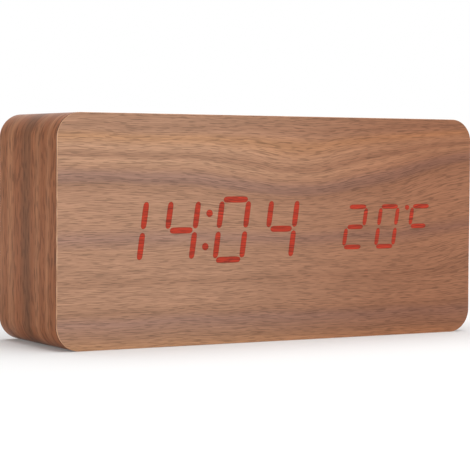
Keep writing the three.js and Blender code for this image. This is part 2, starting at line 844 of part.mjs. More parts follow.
const boardTop = -controlPlugDepth - controlBossLength;
const boardUnder = boardTop - circuitThickness;
const bossPlaces = [-1, 1].map((side) => side * (plugWide / 2 - controlBossInset));
const buttons = [
  { name: "set", mark: "dot", x: buttonPitch },
  { name: "up", mark: "up", x: 0 },
  { name: "down", mark: "down", x: -buttonPitch },
];
const switchBore = buttonStemRadius + switchBoreFit;
const soundSlotReach = (leverStemSize + leverTravel) / 2 + leverFit;
const plateTop = controlFlangeThickness;

function controlPlate() {
  const rim = roundedRectangle(controlPlateWidth, controlPlateHeight, controlPlateRadius);
  const flange = solid(plate(rim, 0, controlFlangeThickness));
  const plug = solid(plate(roundedRectangle(plugWide, plugHigh, controlPlateRadius), -controlPlugDepth, 0));
  const bosses = bossPlaces.map((x) => solid(bar(bossRadius, boardTop, -controlPlugDepth / 2, x, 0)));
  const through = (radius, x, z, sides) =>
    solid(bar(radius, -controlPlugDepth - overrun, plateTop + overrun, x, z, sides));
  const holes = buttons.map((button) => through(buttonRadius + buttonFit, button.x, buttonRise, roundSides));
  holes.push(through(jackNoseRadius + jackFit, jackLead, -lowerRowDrop, roundSides));
  for (let hole = 0; hole <= soundHoleCount; hole += 1) {
    const ringRadius = hole === soundHoleCount ? 0 : soundHoleRing;
    const angle = hole / soundHoleCount * 2 * Math.PI;
    const x = buzzerLead + ringRadius * Math.cos(angle);
    holes.push(through(soundHoleRadius, x, -lowerRowDrop + ringRadius * Math.sin(angle), wireSides));
  }
  const slot = block(
    soundSwitchLead - soundSlotReach,
    soundSwitchLead + soundSlotReach,
    -controlPlugDepth - overrun,
    plateTop + overrun,
    -lowerRowDrop - leverStemSize / 2 - leverFit,
    -lowerRowDrop + leverStemSize / 2 + leverFit,
  );
  const pilotRadius = smallScrewShankRadius + screwFit;
  const pilotEnd = boardTop + controlScrewBite + screwFit;
  const pilots = bossPlaces.map((x) =>
    solid(bar(pilotRadius, boardTop - overrun, pilotEnd, x, 0, smallSides)),
  );
  return faceted(cut(join(flange, plug, ...bosses), ...holes, solid(slot), ...pilots));
}
place(controlGroup, "control_plate", controlPlate(), plasticDark);

function controlBoard() {
  const wide = plugWide / 2 - controlBoardMargin;
  const high = plugHigh / 2 - controlBoardMargin;
  const sheet = solid(block(-wide, wide, boardUnder, boardTop, -high, high));
  const jackHalf = jackBodySize / 2 + jackFit;
  const notch = block(
    jackLead - jackHalf,
    wide + overrun,
    boardUnder - overrun,
    boardTop + overrun,
    -lowerRowDrop - jackHalf,
    -lowerRowDrop + jackHalf,
  );
  const holes = bossPlaces.map((x) =>
    solid(bar(smallScrewShankRadius + screwFit, boardUnder - overrun, boardTop + overrun, x, 0, smallSides)),
  );
  return faceted(cut(sheet, solid(notch), ...holes));
}
place(controlGroup, "control_board", controlBoard(), circuitGreen);

const controlScrew = panScrew(circuitThickness, controlScrewBite);
bossPlaces.forEach((x, index) => {
  const name = `control_screw_${index + 1}`;
  const screw = place(controlGroup, name, controlScrew, steel, x, boardUnder - smallScrewHeadHeight, 0);
  screw.rotation.x = Math.PI;
});

// A raised mark on a button: a dot, or a triangle that points up or down.
function buttonMark(mark, from, to) {
  if (mark === "dot") return bar(buttonMarkSize / 2, from, to, 0, 0, smallSides);
  const point = mark === "up" ? 1 : -1;
  const points = [0, 1, 2].map((corner) => {
    const angle = point * (quarter + corner * 4 * quarter / 3);
    return new THREE.Vector2(buttonMarkSize * Math.cos(angle), buttonMarkSize * Math.sin(angle));
  });
  if (point < 0) points.reverse();
  return plate(new THREE.Shape(points), from, to);
}

// A push button whose stem reaches into its tact switch.
const switchTop = boardTop + switchHeight;
const stemEnd = switchTop - stemEngagement;
const buttonFlangeTop = -controlPlugDepth - buttonSeatGap;
const buttonTop = plateTop + buttonProud - buttonMarkHeight;
function pushButton(mark) {
  const flangeRadius = buttonRadius + buttonFlange;
  const cap = solid(
    turned([
      [0, stemEnd],
      [buttonStemRadius, stemEnd],
      [buttonStemRadius, buttonFlangeTop - buttonFlangeThickness],
      [flangeRadius, buttonFlangeTop - buttonFlangeThickness],
      [flangeRadius, buttonFlangeTop],
      [buttonRadius, buttonFlangeTop],
      [buttonRadius, buttonTop - buttonEdge],
      [buttonRadius - buttonEdge, buttonTop],
      [0, buttonTop],
    ]),
  );
  return faceted(cap.add(solid(buttonMark(mark, buttonTop - buttonEdge, buttonTop + buttonMarkHeight))));
}

function tactSwitch() {
  const half = switchSize / 2;
  const body = solid(block(-half, half, 0, switchHeight, -half, half));
  const boreFloor = switchHeight - stemEngagement - buttonTravel - switchBoreFit;
  return faceted(cut(body, solid(bar(switchBore, boreFloor, switchHeight + overrun))));
}
for (const button of buttons) {
  const { name, mark, x } = button;
  place(controlGroup, `${name}_button`, pushButton(mark), plasticBrown, x, 0, buttonRise);
  place(controlGroup, `${name}_switch`, tactSwitch(), chipBlack, x, boardTop, buttonRise);
}

// The sound switch: a body on the board, and a lever that slides along X from one end of its slot.
const leverWellReach = (leverBaseLength + leverTravel) / 2 + leverFit;
const leverWellDepth = leverBaseHeight + 2 * leverFit;
function soundSwitch() {
  const halfLength = soundSwitchLength / 2;
  const halfBreadth = soundSwitchBreadth / 2;
  const body = block(-halfLength, halfLength, 0, soundSwitchHeight, -halfBreadth, halfBreadth);
  const wellHalf = leverBaseBreadth / 2 + leverFit;
  const wellFloor = soundSwitchHeight - leverWellDepth;
  const wellTop = soundSwitchHeight + overrun;
  const well = block(-leverWellReach, leverWellReach, wellFloor, wellTop, -wellHalf, wellHalf);
  return faceted(cut(solid(body), solid(well)));
}
place(controlGroup, "sound_switch", soundSwitch(), steel, soundSwitchLead, boardTop, -lowerRowDrop);

const leverBottom = boardTop + soundSwitchHeight - leverBaseHeight - leverFit;
const leverTop = plateTop + leverProud;
function soundLever() {
  const baseX = leverBaseLength / 2;
  const baseZ = leverBaseBreadth / 2;
  const base = block(-baseX, baseX, leverBottom, leverBottom + leverBaseHeight, -baseZ, baseZ);
  const half = leverStemSize / 2;
  const stem = block(-half, half, leverBottom + leverBaseHeight / 2, leverTop, -half, half);
  const grooveHalf = leverGroove / 2;
  const grooveFloor = leverTop - leverGroove;
  const grooveZ = half + overrun;
  const groove = block(-grooveHalf, grooveHalf, grooveFloor, leverTop + overrun, -grooveZ, grooveZ);
  return faceted(cut(solid(base).add(solid(stem)), solid(groove)));
}
const leverRest = soundSwitchLead - leverTravel / 2;
place(controlGroup, "sound_lever", soundLever(), plasticCream, leverRest, 0, -lowerRowDrop);

// The power inlet: a round socket with a centre pin, its nose flush with the control plate.
function powerJack() {
  const half = jackBodySize / 2;
  const bodyTop = -controlPlugDepth;
  const bodyEnd = bodyTop - jackBodyLength;
  const body = solid(block(-half, half, bodyEnd, bodyTop, -half, half));
  const nose = solid(bar(jackNoseRadius, bodyTop - jackBodyLength / 2, plateTop));
  const bore = solid(bar(jackBoreRadius, bodyEnd + jackBackWall, plateTop + overrun));
  const pinEnd = plateTop - jackBackWall;
  const pin = solid(bar(jackPinRadius, bodyEnd + jackBackWall / 2, pinEnd, 0, 0, smallSides));
  return faceted(cut(join(body, nose), bore).add(pin));
}
place(controlGroup, "power_jack", powerJack(), chipBlack, jackLead, 0, -lowerRowDrop);

function buzzer() {
  const can = solid(bar(buzzerRadius, 0, buzzerHeight));
  const portFloor = buzzerHeight - buzzerPortDepth;
  const port = bar(buzzerPortRadius, portFloor, buzzerHeight + overrun, 0, 0, smallSides);
  return faceted(cut(can, solid(port)));
}
place(controlGroup, "buzzer", buzzer(), chipBlack, buzzerLead, boardTop, -lowerRowDrop);

// The battery box and what it holds, with y = 0 on the outer face of the back panel.
const batteryGroup = new THREE.Group();
batteryGroup.position.set(boxCentre, panelFace, middle);

const doorInner = bezelProud - doorThickness;
const ledgeLevel = doorInner - doorSeatGap;
const cellCentreY = doorInner - cellTopGap - cellRadius;
const floorTop = cellCentreY - cellRadius - cellFloorGap;
const bayReachX = bayLength / 2;
const bayReachZ = bayHigh / 2;
const doorWide = bayLength + 2 * (ledgeWidth - doorFit);
const doorHigh = bayHigh + 2 * (ledgeWidth - doorFit);
const doorBottom = -doorHigh / 2;
const doorTop = doorHigh / 2;
const hookTop = doorInner - hookDrop + hookThickness;
const hookPlaces = [-1, 1].map((side) => side * hookSpreadShare * bayLength);
const cellPlaces = [...Array(cellCount).keys()].map((cell) => (cell - (cellCount - 1) / 2) * cellPitch);

function batteryBox() {
  const floorUnder = floorTop - boxFloor;
  const body = solid(plate(roundedRectangle(boxWide, boxHigh, boxCornerRadius), floorUnder, bezelProud));
  const bezel = solid(
    plate(
      roundedRectangle(bezelWide, boxHigh + 2 * bezelWidth, boxCornerRadius + bezelWidth),
      0,
      bezelProud,
    ),
  );
  const bay = solid(block(-bayReachX, bayReachX, floorTop, bezelProud + overrun, -bayReachZ, bayReachZ));
  const seatX = bayReachX + ledgeWidth;
  const seatZ = bayReachZ + ledgeWidth;
  const seat = solid(block(-seatX, seatX, ledgeLevel, bezelProud + overrun, -seatZ, seatZ));
  const slots = hookPlaces.map((x) => {
    const half = hookWidth / 2 + hookFit;
    const slotTop = ledgeLevel - ledgeThickness;
    const slotEnd = -bayReachZ - boxWall - overrun;
    return solid(block(x - half, x + half, slotTop - hookSlotDepth, slotTop, slotEnd, -bayReachZ + overrun));
  });
  const notchZ = seatZ + notchReach - notchRadius;
  const notch = bar(notchRadius, bezelProud - notchDepth, bezelProud + overrun, 0, notchZ);
  const leadHoles = [cellPlaces[0], cellPlaces[cellCount - 1]].map((z) => {
    const length = boxWall + 2 * overrun;
    const hole = new THREE.CylinderGeometry(leadHoleRadius, leadHoleRadius, length, smallSides);
    hole.rotateZ(quarter);
    hole.translate(-bayReachX - boxWall / 2, cellCentreY, z);
    return solid(hole);
  });
  const ribX = bayReachX / 2;
  const ribBase = floorTop - boxFloor / 2;
  const ribs = cellPlaces.slice(1).map((z) => {
    const low = z - cellPitch / 2 - ribWidth / 2;
    return solid(block(-ribX, ribX, ribBase, floorTop + ribHeight, low, low + ribWidth));
  });
  return faceted(join(cut(join(body, bezel), bay, seat, solid(notch), ...slots, ...leadHoles), ...ribs));
}
place(batteryGroup, "battery_box", batteryBox(), plasticDark);

// A round cell along Y, with its nub at the top.
const cellBody = cellLength - cellNubHeight;
const cellForm = turned(
  [
    [0, 0],
    [cellRadius - cellEdge, 0],
    [cellRadius, cellEdge],
    [cellRadius, cellBody - cellEdge],
    [cellRadius - cellEdge, cellBody],
    [cellNubRadius, cellBody],
    [cellNubRadius, cellLength],
    [0, cellLength],
  ],
  cellSides,
);

// Cells turn about from one to the next: the nub of the first points to the left.
const springSide = contactDepth + springLength;
cellPlaces.forEach((z, index) => {
  const nub = index % 2 === 0 ? -1 : 1;
  const cell = place(batteryGroup, `battery_cell_${index + 1}`, cellForm, cellSleeve);
  cell.rotation.z = -nub * quarter;
  cell.position.set(-nub * (bayReachX - springSide), cellCentreY, z);
});

// A conical spring along +X that starts inside its contact plate at x = 0.
class ConeCoil extends THREE.Curve {
  getPoint(share, target = new THREE.Vector3()) {
    const angle = share * springTurns * 4 * quarter;
    const radius = springBaseRadius + (springTipRadius - springBaseRadius) * share;
    const along = share * (springLength - springWireRadius);
    return target.set(along, radius * Math.cos(angle), radius * Math.sin(angle));
  }
}

function roundSection(radius, sides) {
  return new THREE.Shape(
    [...Array(sides).keys()].map((side) => {
      const angle = side / sides * 4 * quarter;
      return new THREE.Vector2(radius * Math.cos(angle), radius * Math.sin(angle));
    }),
  );
}

function tube(curve, radius, sides, steps) {
  const section = roundSection(radius, sides);
  return new THREE.ExtrudeGeometry(section, { steps, bevelEnabled: false, extrudePath: curve });
}

// A contact plate on the left wall of the bay: a spring at one cell and a dimple at the next.
function contact(springZ, dimpleZ) {
  const centres = [springZ, dimpleZ].filter((z) => z !== null);
  const low = Math.min(...centres) - contactSize / 2;
  const high = Math.max(...centres) + contactSize / 2;
  let shape = solid(block(0, contactThickness, -contactSize / 2, contactSize / 2, low, high));
  if (springZ !== null) {
    const coil = tube(new ConeCoil(), springWireRadius, springSidesCount, springTurns * springStepsPerTurn);
    coil.translate(contactThickness, 0, springZ);
    shape = shape.add(solid(coil));
  }
  if (dimpleZ !== null) {
    const base = contactThickness / 2;
    const reach = base + dimpleHeight;
    const dimple = new THREE.CylinderGeometry(dimpleRadius / 2, dimpleRadius, reach, smallSides);
    dimple.rotateZ(-quarter);
    dimple.translate(contactThickness + (dimpleHeight - base) / 2, 0, dimpleZ);
    shape = shape.add(solid(dimple));
  }
  return faceted(shape);
}

// Each contact's cells: the one whose flat end meets a spring and the one whose nub meets a dimple.
const contacts = [
  { name: "positive_contact", side: -1, spring: null, dimple: 0 },
  { name: "link_contact_1", side: 1, spring: 0, dimple: 1 },
  { name: "link_contact_2", side: -1, spring: 1, dimple: 2 },
  { name: "link_contact_3", side: 1, spring: 2, dimple: 3 },
  { name: "negative_contact", side: -1, spring: 3, dimple: null },
];
for (const { name, side, spring, dimple } of contacts) {
  const flip = -side;
  const springZ = spring === null ? null : flip * cellPlaces[spring];
  const dimpleZ = dimple === null ? null : flip * cellPlaces[dimple];
  const back = side * (bayReachX - contactGap);
  const mesh = place(batteryGroup, name, contact(springZ, dimpleZ), nickel, back, cellCentreY, 0);
  if (side > 0) mesh.rotation.y = Math.PI;
}

// The battery door: hooks under its lower edge, and a tongue with a nub and grip ribs at its upper edge.
function batteryDoor() {
  const leaf = solid(block(-doorWide / 2, doorWide / 2, doorInner, bezelProud, doorBottom, doorTop));
  const legFront = -bayReachZ + hookFit;
  const hooks = hookPlaces.flatMap((x) => {
    const half = hookWidth / 2;
    const low = doorInner - hookDrop;
    const legEnd = legFront + hookLeg;
    const leg = block(x - half, x + half, low, doorInner + doorThickness / 2, legFront, legEnd);
    const toe = block(x - half, x + half, low, hookTop, -bayReachZ - hookReach, legEnd);
    return [solid(leg), solid(toe)];
  });
  const slits = [-1, 1].map((side) => {
    const centre = side * (tongueWidth + tongueSlit) / 2;
    const left = centre - tongueSlit / 2;
    const slitEnd = doorTop - tongueLength;
    const outerY = bezelProud + overrun;
    return solid(block(left, left + tongueSlit, doorInner - overrun, outerY, slitEnd, doorTop + overrun));
  });
  const nubTop = bayReachZ - nubClearance;
  const half = tongueWidth / 3;
  const core = doorInner + doorThickness / 2;
  const nub = block(-half, half, doorInner - nubDrop, core, nubTop - nubThickness, nubTop);
  const grips = [...Array(gripCount).keys()].map((grip) => {
    const low = doorTop - (grip + 1) * gripPitch - gripWidth / 2;
    return solid(block(-half, half, core, bezelProud + gripHeight, low, low + gripWidth));
  });
  return faceted(join(cut(leaf, ...slits), ...hooks, solid(nub), ...grips));
}
place(batteryGroup, "battery_door", batteryDoor(), plasticDark);

// The wiring inside the case, in the frame of the whole clock.
const wiringGroup = new THREE.Group();
wiringGroup.position.set(0, 0, middle);

const boardBackY = frontFace + veneerThickness + displayBack;
const channelX = boxCentre - boxWide / 2 - leadChannelGap;
const padX = -displayBoardWidth / 2 + leadPadInset;
const cellY = panelFace + cellCentreY;

// A lead from a contact's back, out through the box's wall, along the case's side and onto the display board.
function batteryLead(startZ, padZ) {
  const startX = boxCentre - bayReachX + contactGap - leadGap;
  const wallX = boxCentre - boxWide / 2;
  const bend = leadChannelGap;
  const route = new THREE.CatmullRomCurve3([
    new THREE.Vector3(startX, cellY, startZ),
    new THREE.Vector3(wallX, cellY, startZ),
    new THREE.Vector3(channelX, cellY - bend, startZ),
    new THREE.Vector3(channelX, cellY - 3 * bend, (3 * startZ + padZ) / 4),
    new THREE.Vector3(channelX, (cellY + boardBackY) / 2, (startZ + padZ) / 2),
    new THREE.Vector3((channelX + padX) / 2, boardBackY + 3 * bend, padZ),
    new THREE.Vector3(padX, boardBackY + bend, padZ),
    new THREE.Vector3(padX, boardBackY + leadGap, padZ),
  ]);
  return tube(route, leadRadius, wireSides, leadSteps);
}
place(wiringGroup, "battery_lead_positive", batteryLead(cellPlaces[0], -leadPadRise), leadRed);
place(wiringGroup, "battery_lead_negative", batteryLead(cellPlaces[cellCount - 1], leadPadRise), leadBlack);

// Two headers and the ribbon cable between them, which bends in an S in Y and Z.
const headerX = controlCentre;
const controlHeaderY = panelFace + boardUnder - headerHeight;
const displayHeaderY = boardBackY;
const headerHalf = headerWidth / 2;
const header = block(-headerHalf, headerHalf, 0, headerHeight, -headerBreadth / 2, headerBreadth / 2);
place(wiringGroup, "control_header", header, plasticCream, headerX, controlHeaderY, headerRise);
place(wiringGroup, "display_header", header, plasticCream, headerX, displayHeaderY, -headerRise);

function ribbonCable() {
  const from = controlHeaderY - leadGap;
  const to = displayHeaderY + headerHeight + leadGap;
  const reach = (from - to) * ribbonStraightShare;
  const curve = new THREE.CubicBezierCurve(
    new THREE.Vector2(from, headerRise),
    new THREE.Vector2(from - reach, headerRise),
    new THREE.Vector2(to + reach, -headerRise),
    new THREE.Vector2(to, -headerRise),
  );
  const upper = [];
  const lower = [];
  for (let step = 0; step <= smallSides; step += 1) {
    const share = step / smallSides;
    const point = curve.getPoint(share);
    const along = curve.getTangent(share);
    const side = new THREE.Vector2(-along.y, along.x).multiplyScalar(ribbonThickness / 2);
    upper.push(point.clone().add(side));
    lower.unshift(point.clone().sub(side));
  }
  const geometry = new THREE.ExtrudeGeometry(new THREE.Shape([...upper, ...lower]), {
    depth: ribbonWidth,
    bevelEnabled: false,
  });
  // The outline is drawn in Y and Z and runs along X.
  const turn = new THREE.Matrix4().makeBasis(
    new THREE.Vector3(0, 1, 0),
    new THREE.Vector3(0, 0, 1),
    new THREE.Vector3(1, 0, 0),
  );
  geometry.applyMatrix4(turn);
  geometry.translate(-ribbonWidth / 2, 0, 0);
  return geometry;
}
place(wiringGroup, "ribbon_cable", ribbonCable(), ribbonGrey, headerX, 0, 0);

const clock = new THREE.Group();
clock.add(caseGroup, displayGroup, controlGroup, batteryGroup, wiringGroup);

export default clock;
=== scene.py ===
"""Looks for a walnut block alarm clock, built round its packed CAD frame.

Lengths are metres, as in the frame. The frame gives each piece its place and its outer size. What it
doesn't give, such as the rounding of an edge or the wire of a spring, is a setting in the sidebar.
"""

import math

import bpy
from bpy.props import FloatProperty, FloatVectorProperty, IntProperty, PointerProperty
from bpy.types import Operator, Panel, PropertyGroup
from mathutils import Matrix, Vector


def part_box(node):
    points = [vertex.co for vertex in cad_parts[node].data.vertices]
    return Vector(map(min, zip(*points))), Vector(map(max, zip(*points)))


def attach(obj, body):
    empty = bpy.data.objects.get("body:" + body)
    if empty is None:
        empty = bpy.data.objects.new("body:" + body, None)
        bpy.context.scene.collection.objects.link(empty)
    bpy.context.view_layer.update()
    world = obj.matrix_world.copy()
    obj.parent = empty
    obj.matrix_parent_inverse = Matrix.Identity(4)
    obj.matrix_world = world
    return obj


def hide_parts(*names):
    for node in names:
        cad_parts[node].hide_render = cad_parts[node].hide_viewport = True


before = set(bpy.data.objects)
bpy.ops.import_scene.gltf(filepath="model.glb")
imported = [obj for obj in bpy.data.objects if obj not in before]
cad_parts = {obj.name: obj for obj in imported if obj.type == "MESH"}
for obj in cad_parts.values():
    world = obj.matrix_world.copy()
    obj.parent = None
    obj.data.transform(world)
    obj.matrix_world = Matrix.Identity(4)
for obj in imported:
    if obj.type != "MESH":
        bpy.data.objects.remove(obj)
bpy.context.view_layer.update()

bl_info = {
    "name": "Walnut block clock",
    "version": (1, 0, 0),
    "blender": (4, 5, 0),
    "location": "View3D > Sidebar > Clock",
    "description": "Dresses the packed frame of a walnut block alarm clock",
    "category": "Object",
}

MM = 0.001
# Two places closer than this are the same.
NEAR = 0.001 * MM
# How far a cutting tool reaches past what it cuts.
PAST = 1 * MM
# The depth of the clock's front face.
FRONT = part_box("front_veneer")[0].y

CASE = "case"
FIGURES = (
    "hour_tens",
    "hour_units",
    "colon",
    "minute_tens",
    "minute_units",
    "temperature_tens",
    "temperature_units",
    "degree",
)
PANEL_SCREWS = tuple(f"back_screw_{index}" for index in range(1, 5))
CONTROL_SCREWS = ("control_screw_1", "control_screw_2")
DISPLAY_SCREWS = tuple(f"display_screw_{index}" for index in range(1, 5))
BUTTONS = ("set_button", "up_button", "down_button")
CELLS = tuple(f"battery_cell_{index}" for index in range(1, 5))
# From the lowest cell's first end to the highest cell's last one, on the left and the right in turn.
CONTACTS = ("positive_contact", "link_contact_1", "link_contact_2", "link_contact_3", "negative_contact")


# Settings


def linear(code):
    """A colour written as sRGB hex, such as 8c5e45, as linear red, green, blue and alpha."""
    shares = [int(code[i:i + 2], 16) / 255 for i in (0, 2, 4)]
    return (*[c / 12.92 if c <= 0.04045 else ((c + 0.055) / 1.055) ** 2.4 for c in shares], 1.0)


def length(name, description, default):
    """A length setting. Its default is given in millimetres."""
    return FloatProperty(
        name=name, description=description, default=default * MM, min=0, unit="LENGTH", precision=5
    )


def number(name, description, default, least):
    return IntProperty(name=name, description=description, default=default, min=least)


def colour(name, description, default):
    """A colour setting. Its default is given as sRGB hex."""
    return FloatVectorProperty(
        name=name,
        description=description,
        default=linear(default)[:3],
        size=3,
        min=0,
        max=1,
        subtype="COLOR",
    )


class CaseSizes(PropertyGroup):
    """Case sizes"""

    corner: length("Corner", "Radius of the block's four long corners", 7.5)
    corner_steps: number("Corner steps", "Faces round each long corner", 20, 4)
    wall: length("Wall", "Thickness of the ring's boards", 6)
    cavity_corner: length("Cavity corner", "Radius inside the ring's corners", 11.9)
    rebate: length("Rebate", "Width of the step that holds the back panel", 3)
    back_edge: length("Back edge", "Rounding of the ring's back edge", 0.6)
    foil_joint: length("Foil joint", "Bevel of the ring's front edge, at the joint", 0.32)
    veneer_joint: length("Veneer joint", "Bevel of the veneer's back edge", 0.12)
    front_edge: length("Front edge", "Rounding of the veneer's front edge", 0.22)
    bar_rim: length("Bar rim", "Width of the darker rim of a lit bar", 0.3)
    bar_spread: length("Bar spread", "How far a bar's light spreads in the veneer", 0.12)
    pilot_radius: length("Pilot radius", "Radius of the ring's holes for the back screws", 1.2)
    pilot_spare: length("Pilot spare", "How far those holes go past the screws", 0.5)
    panel_gap: length("Panel gap", "Space round the back panel", 0.3)
    panel_edge: length("Panel edge", "Rounding of the back panel's edges", 0.18)
    window_gap: length("Window gap", "Space round what sits in the back panel's windows", 0.2)
    screw_gap: length("Screw gap", "Space round the head of a back screw", 0.12)
    screw_pitch: length("Screw pitch", "Length of one turn of a back screw's thread", 0.9)
    screw_edge: length("Screw edge", "Height of the edge of a back screw's head", 0.06)
    thread_edge: length("Thread edge", "Rounding of a back screw's sharp edges", 0.04)
    seat_lip: length("Seat lip", "Height of the straight lip of a back screw's seat", 0.05)


class ControlSizes(PropertyGroup):
    """Control sizes"""

    corner: length("Corner", "Radius of the control plate's corners", 2.5)
    rim: length("Rim", "Width of the rim that rests on the back panel", 2)
    rim_depth: length("Rim depth", "Thickness of the rim", 0.8)
    plug_depth: length("Plug depth", "How far the plate reaches into the back panel", 2)
    edge: length("Edge", "Rounding of the plate's edges", 0.16)
    boss_radius: length("Boss radius", "Radius of the two screw bosses", 2.6)
    pilot_radius: length("Pilot radius", "Radius of a boss's pilot hole", 0.95)
    pilot_depth: length("Pilot depth", "Depth of a boss's pilot hole", 4)
    clearance: length("Clearance", "Space round each moving piece", 0.2)
    button_radius: length("Button radius", "Radius of a button's cap", 3)
    button_edge: length("Button edge", "Rounding of a button's cap", 0.4)
    dish_depth: length("Dish depth", "Depth of the dish in a button's cap", 0.16)
    collar_depth: length("Collar depth", "Thickness of the collar that keeps a button in", 0.8)
    collar_edge: length("Collar edge", "Bevel of the collar's edges", 0.1)
    stem_radius: length("Stem radius", "Radius of a button's stem", 1.6)
    mark_height: length("Mark height", "How far a button's mark stands up", 0.2)
    mark_size: length("Mark size", "Reach of a button's mark from its centre", 1.1)
    mark_corner: length("Mark corner", "Rounding of the corners of a triangular mark", 0.12)
    mark_edge: length("Mark edge", "Rounding of a mark's top edges", 0.04)
    hole_radius: length("Sound hole radius", "Radius of a sound hole", 0.7)
    hole_ring: length("Sound hole ring", "Radius of the ring of sound holes", 2.6)
    hole_count: number("Sound holes", "Sound holes in the ring", 6, 1)
    slot_reach: length("Slot reach", "Half the length of the sound lever's slot", 2)
    slot_breadth: length("Slot breadth", "Half the breadth of the sound lever's slot", 1)
    lever_half: length("Lever half", "Half the width of the lever's stem", 0.8)
    lever_foot: length("Lever foot", "Thickness of the lever's foot", 1.4)
    lever_travel: length("Lever travel", "How far the sound lever slides", 2)
    lever_edge: length("Lever edge", "Rounding of the sound lever's edges", 0.05)
    groove_half: length("Groove half", "Half the width of a groove in the lever's tip", 0.09)
    groove_depth: length("Groove depth", "Depth of a groove in the lever's tip", 0.25)
    nose_radius: length("Inlet nose radius", "Radius of the power inlet's nose", 3)
    bore_radius: length("Inlet bore radius", "Radius of the power inlet's bore", 1.8)
    mouth: length("Inlet mouth", "How much wider the bore is at its mouth", 0.35)
    mouth_depth: length("Inlet mouth depth", "Depth of the flare at the bore's mouth", 0.5)
    inlet_wall: length("Inlet wall", "Thickness of the power inlet's back wall", 1.5)
    pin_radius: length("Inlet pin radius", "Radius of the power inlet's pin", 0.65)
    pin_recess: length("Inlet pin recess", "How far the pin stands below the nose", 1.5)
    pin_tip: length("Inlet pin tip", "Length of the pin's rounded tip", 0.4)
    inlet_edge: length("Inlet edge", "Rounding of the power inlet's edges", 0.12)


class BatterySizes(PropertyGroup):
    """Battery box sizes"""

    corner: length("Corner", "Radius of the box's corners", 1.5)
    rim: length("Rim", "Width of the rim that rests on the back panel", 2)
    wall: length("Wall", "Thickness of the box's walls", 1.9)
    floor: length("Floor", "Thickness of the box's floor", 1.3)
    edge: length("Edge", "Rounding of the box's edges", 0.2)
    ledge: length("Ledge", "Width of the step that the door rests on", 1)
    rib_width: length("Rib width", "Width of the ribs between the cells", 1.2)
    rib_height: length("Rib height", "Height of the ribs between the cells", 2)
    door_depth: length("Door depth", "Thickness of the door's leaf", 1.8)
    door_gap: length("Door gap", "Space round the door", 0.3)
    door_seat: length("Door seat", "Space under the door", 0.1)
    door_corner: length("Door corner", "Radius of the door's corners", 0.4)
    door_edge: length("Door edge", "Rounding of the door's edges", 0.14)
    tongue_width: length("Tongue width", "Width of the door's latch tongue", 9)
    tongue_length: length("Tongue length", "Length of the door's latch tongue", 7)
    tongue_slit: length("Tongue slit", "Width of the slit on each side of the tongue", 0.8)
    nub_depth: length("Latch nub depth", "How far the latch nub reaches into the box", 1.6)
    nub_tall: length("Latch nub thickness", "Thickness of the latch nub", 1)
    nub_off: length("Latch nub gap", "Space between the latch nub and the box", 0.4)
    grip_pitch: length("Grip pitch", "Distance between the tongue's grip ribs", 1.6)
    grip_width: length("Grip width", "Width of a grip rib", 0.6)
    hook_width: length("Hook width", "Width of each of the door's hooks", 6)
    hook_spread: length("Hook spread", "Distance of each hook from the door's middle", 13.97)
    hook_depth: length("Hook depth", "How far a hook reaches into the box", 2.1)
    hook_leg: length("Hook leg", "Thickness of a hook's leg", 1)
    hook_toe: length("Hook toe", "Thickness of a hook's toe, and how far it reaches out", 0.9)
    hook_gap: length("Hook gap", "Space round a hook", 0.2)
    slot_height: length("Hook slot height", "Height of the slot that a hook sits in", 1.55)
    slot_wall: length("Hook slot wall", "Wall between a hook's slot and the door's ledge", 0.8)
    notch_radius: length("Notch radius", "Radius of the fingertip notch", 5)
    notch_depth: length("Notch depth", "Depth of the fingertip notch", 0.8)
    notch_reach: length("Notch reach", "How far the notch goes past the door's ledge", 1.8)
    cell_radius: length("Cell radius", "Radius of a cell", 5.25)
    cell_roll: length("Cell roll", "Height of the rolled edge of a cell", 0.5)
    nub_radius: length("Cell nub radius", "Radius of a cell's nub", 1.9)
    nub_height: length("Cell nub height", "Height of a cell's nub", 0.8)
    contact_depth: length("Contact depth", "Thickness of a contact plate", 0.4)
    contact_edge: length("Contact edge", "Rounding of a contact plate's long edges", 0.2)
    dimple_radius: length("Dimple radius", "Radius of a contact's dimple", 2.2)
    dimple_height: length("Dimple height", "Height of a contact's dimple", 0.45)
    wire_radius: length("Wire radius", "Radius of a spring's wire", 0.25)
    spring_base: length("Spring base", "Radius of a spring at its plate", 3.3)
    spring_tip: length("Spring tip", "Radius of a spring at its end", 2)
    spring_length: length("Spring length", "Height of a spring", 3.6)
    spring_turns: number("Spring turns", "Turns of a spring", 3, 1)


class Colours(PropertyGroup):
    """Colours"""

    light: colour("Light", "Red light that comes through the veneer", "8c150a")
    # Painted light: where a bar glows, the veneer takes this red as its colour in place of its own.
    glow_painted_wood: colour("Lit wood", "The veneer's own colour where it is lit", "6e2a16")
    floor: colour("Floor", "Pale floor", "e8e8e8")


# Helpers for pieces


def deselect():
    bpy.ops.object.select_all(action="DESELECT")


def focus(piece):
    """Makes a piece the only one that is selected and active."""
    deselect()
    piece.select_set(True)
    bpy.context.view_layer.objects.active = piece


def placed(name):
    """Names the new primitive and moves its place, turn and size into its mesh."""
    bpy.ops.object.transform_apply(location=True, rotation=True, scale=True)
    bpy.context.object.name = name
    return bpy.context.object


def block(name, low, high):
    """A block between two corners."""
    deselect()
    low, high = Vector(low), Vector(high)
    bpy.ops.mesh.primitive_cube_add(size=1, location=(low + high) / 2, scale=high - low)
    return placed(name)


def rod(name, radius, start, end, centre, sides=48, turn=1):
    """A rod along Y from one depth to another, round a centre. A rod of three sides has a corner at its top
    with a turn of 1, and at its bottom with a turn of -1."""
    deselect()
    bpy.ops.mesh.primitive_cylinder_add(
        vertices=sides,
        radius=radius,
        depth=end - start,
        location=(centre.x, (start + end) / 2, centre.z),
        rotation=(turn * math.pi / 2, 0, 0),
    )
    return placed(name)


def plate(name, low, high, radius, steps=10):
    """A block whose four edges along Y are rounded."""
    piece = block(name, low, high)
    round_edges(piece, along_y, radius, steps)
    return piece


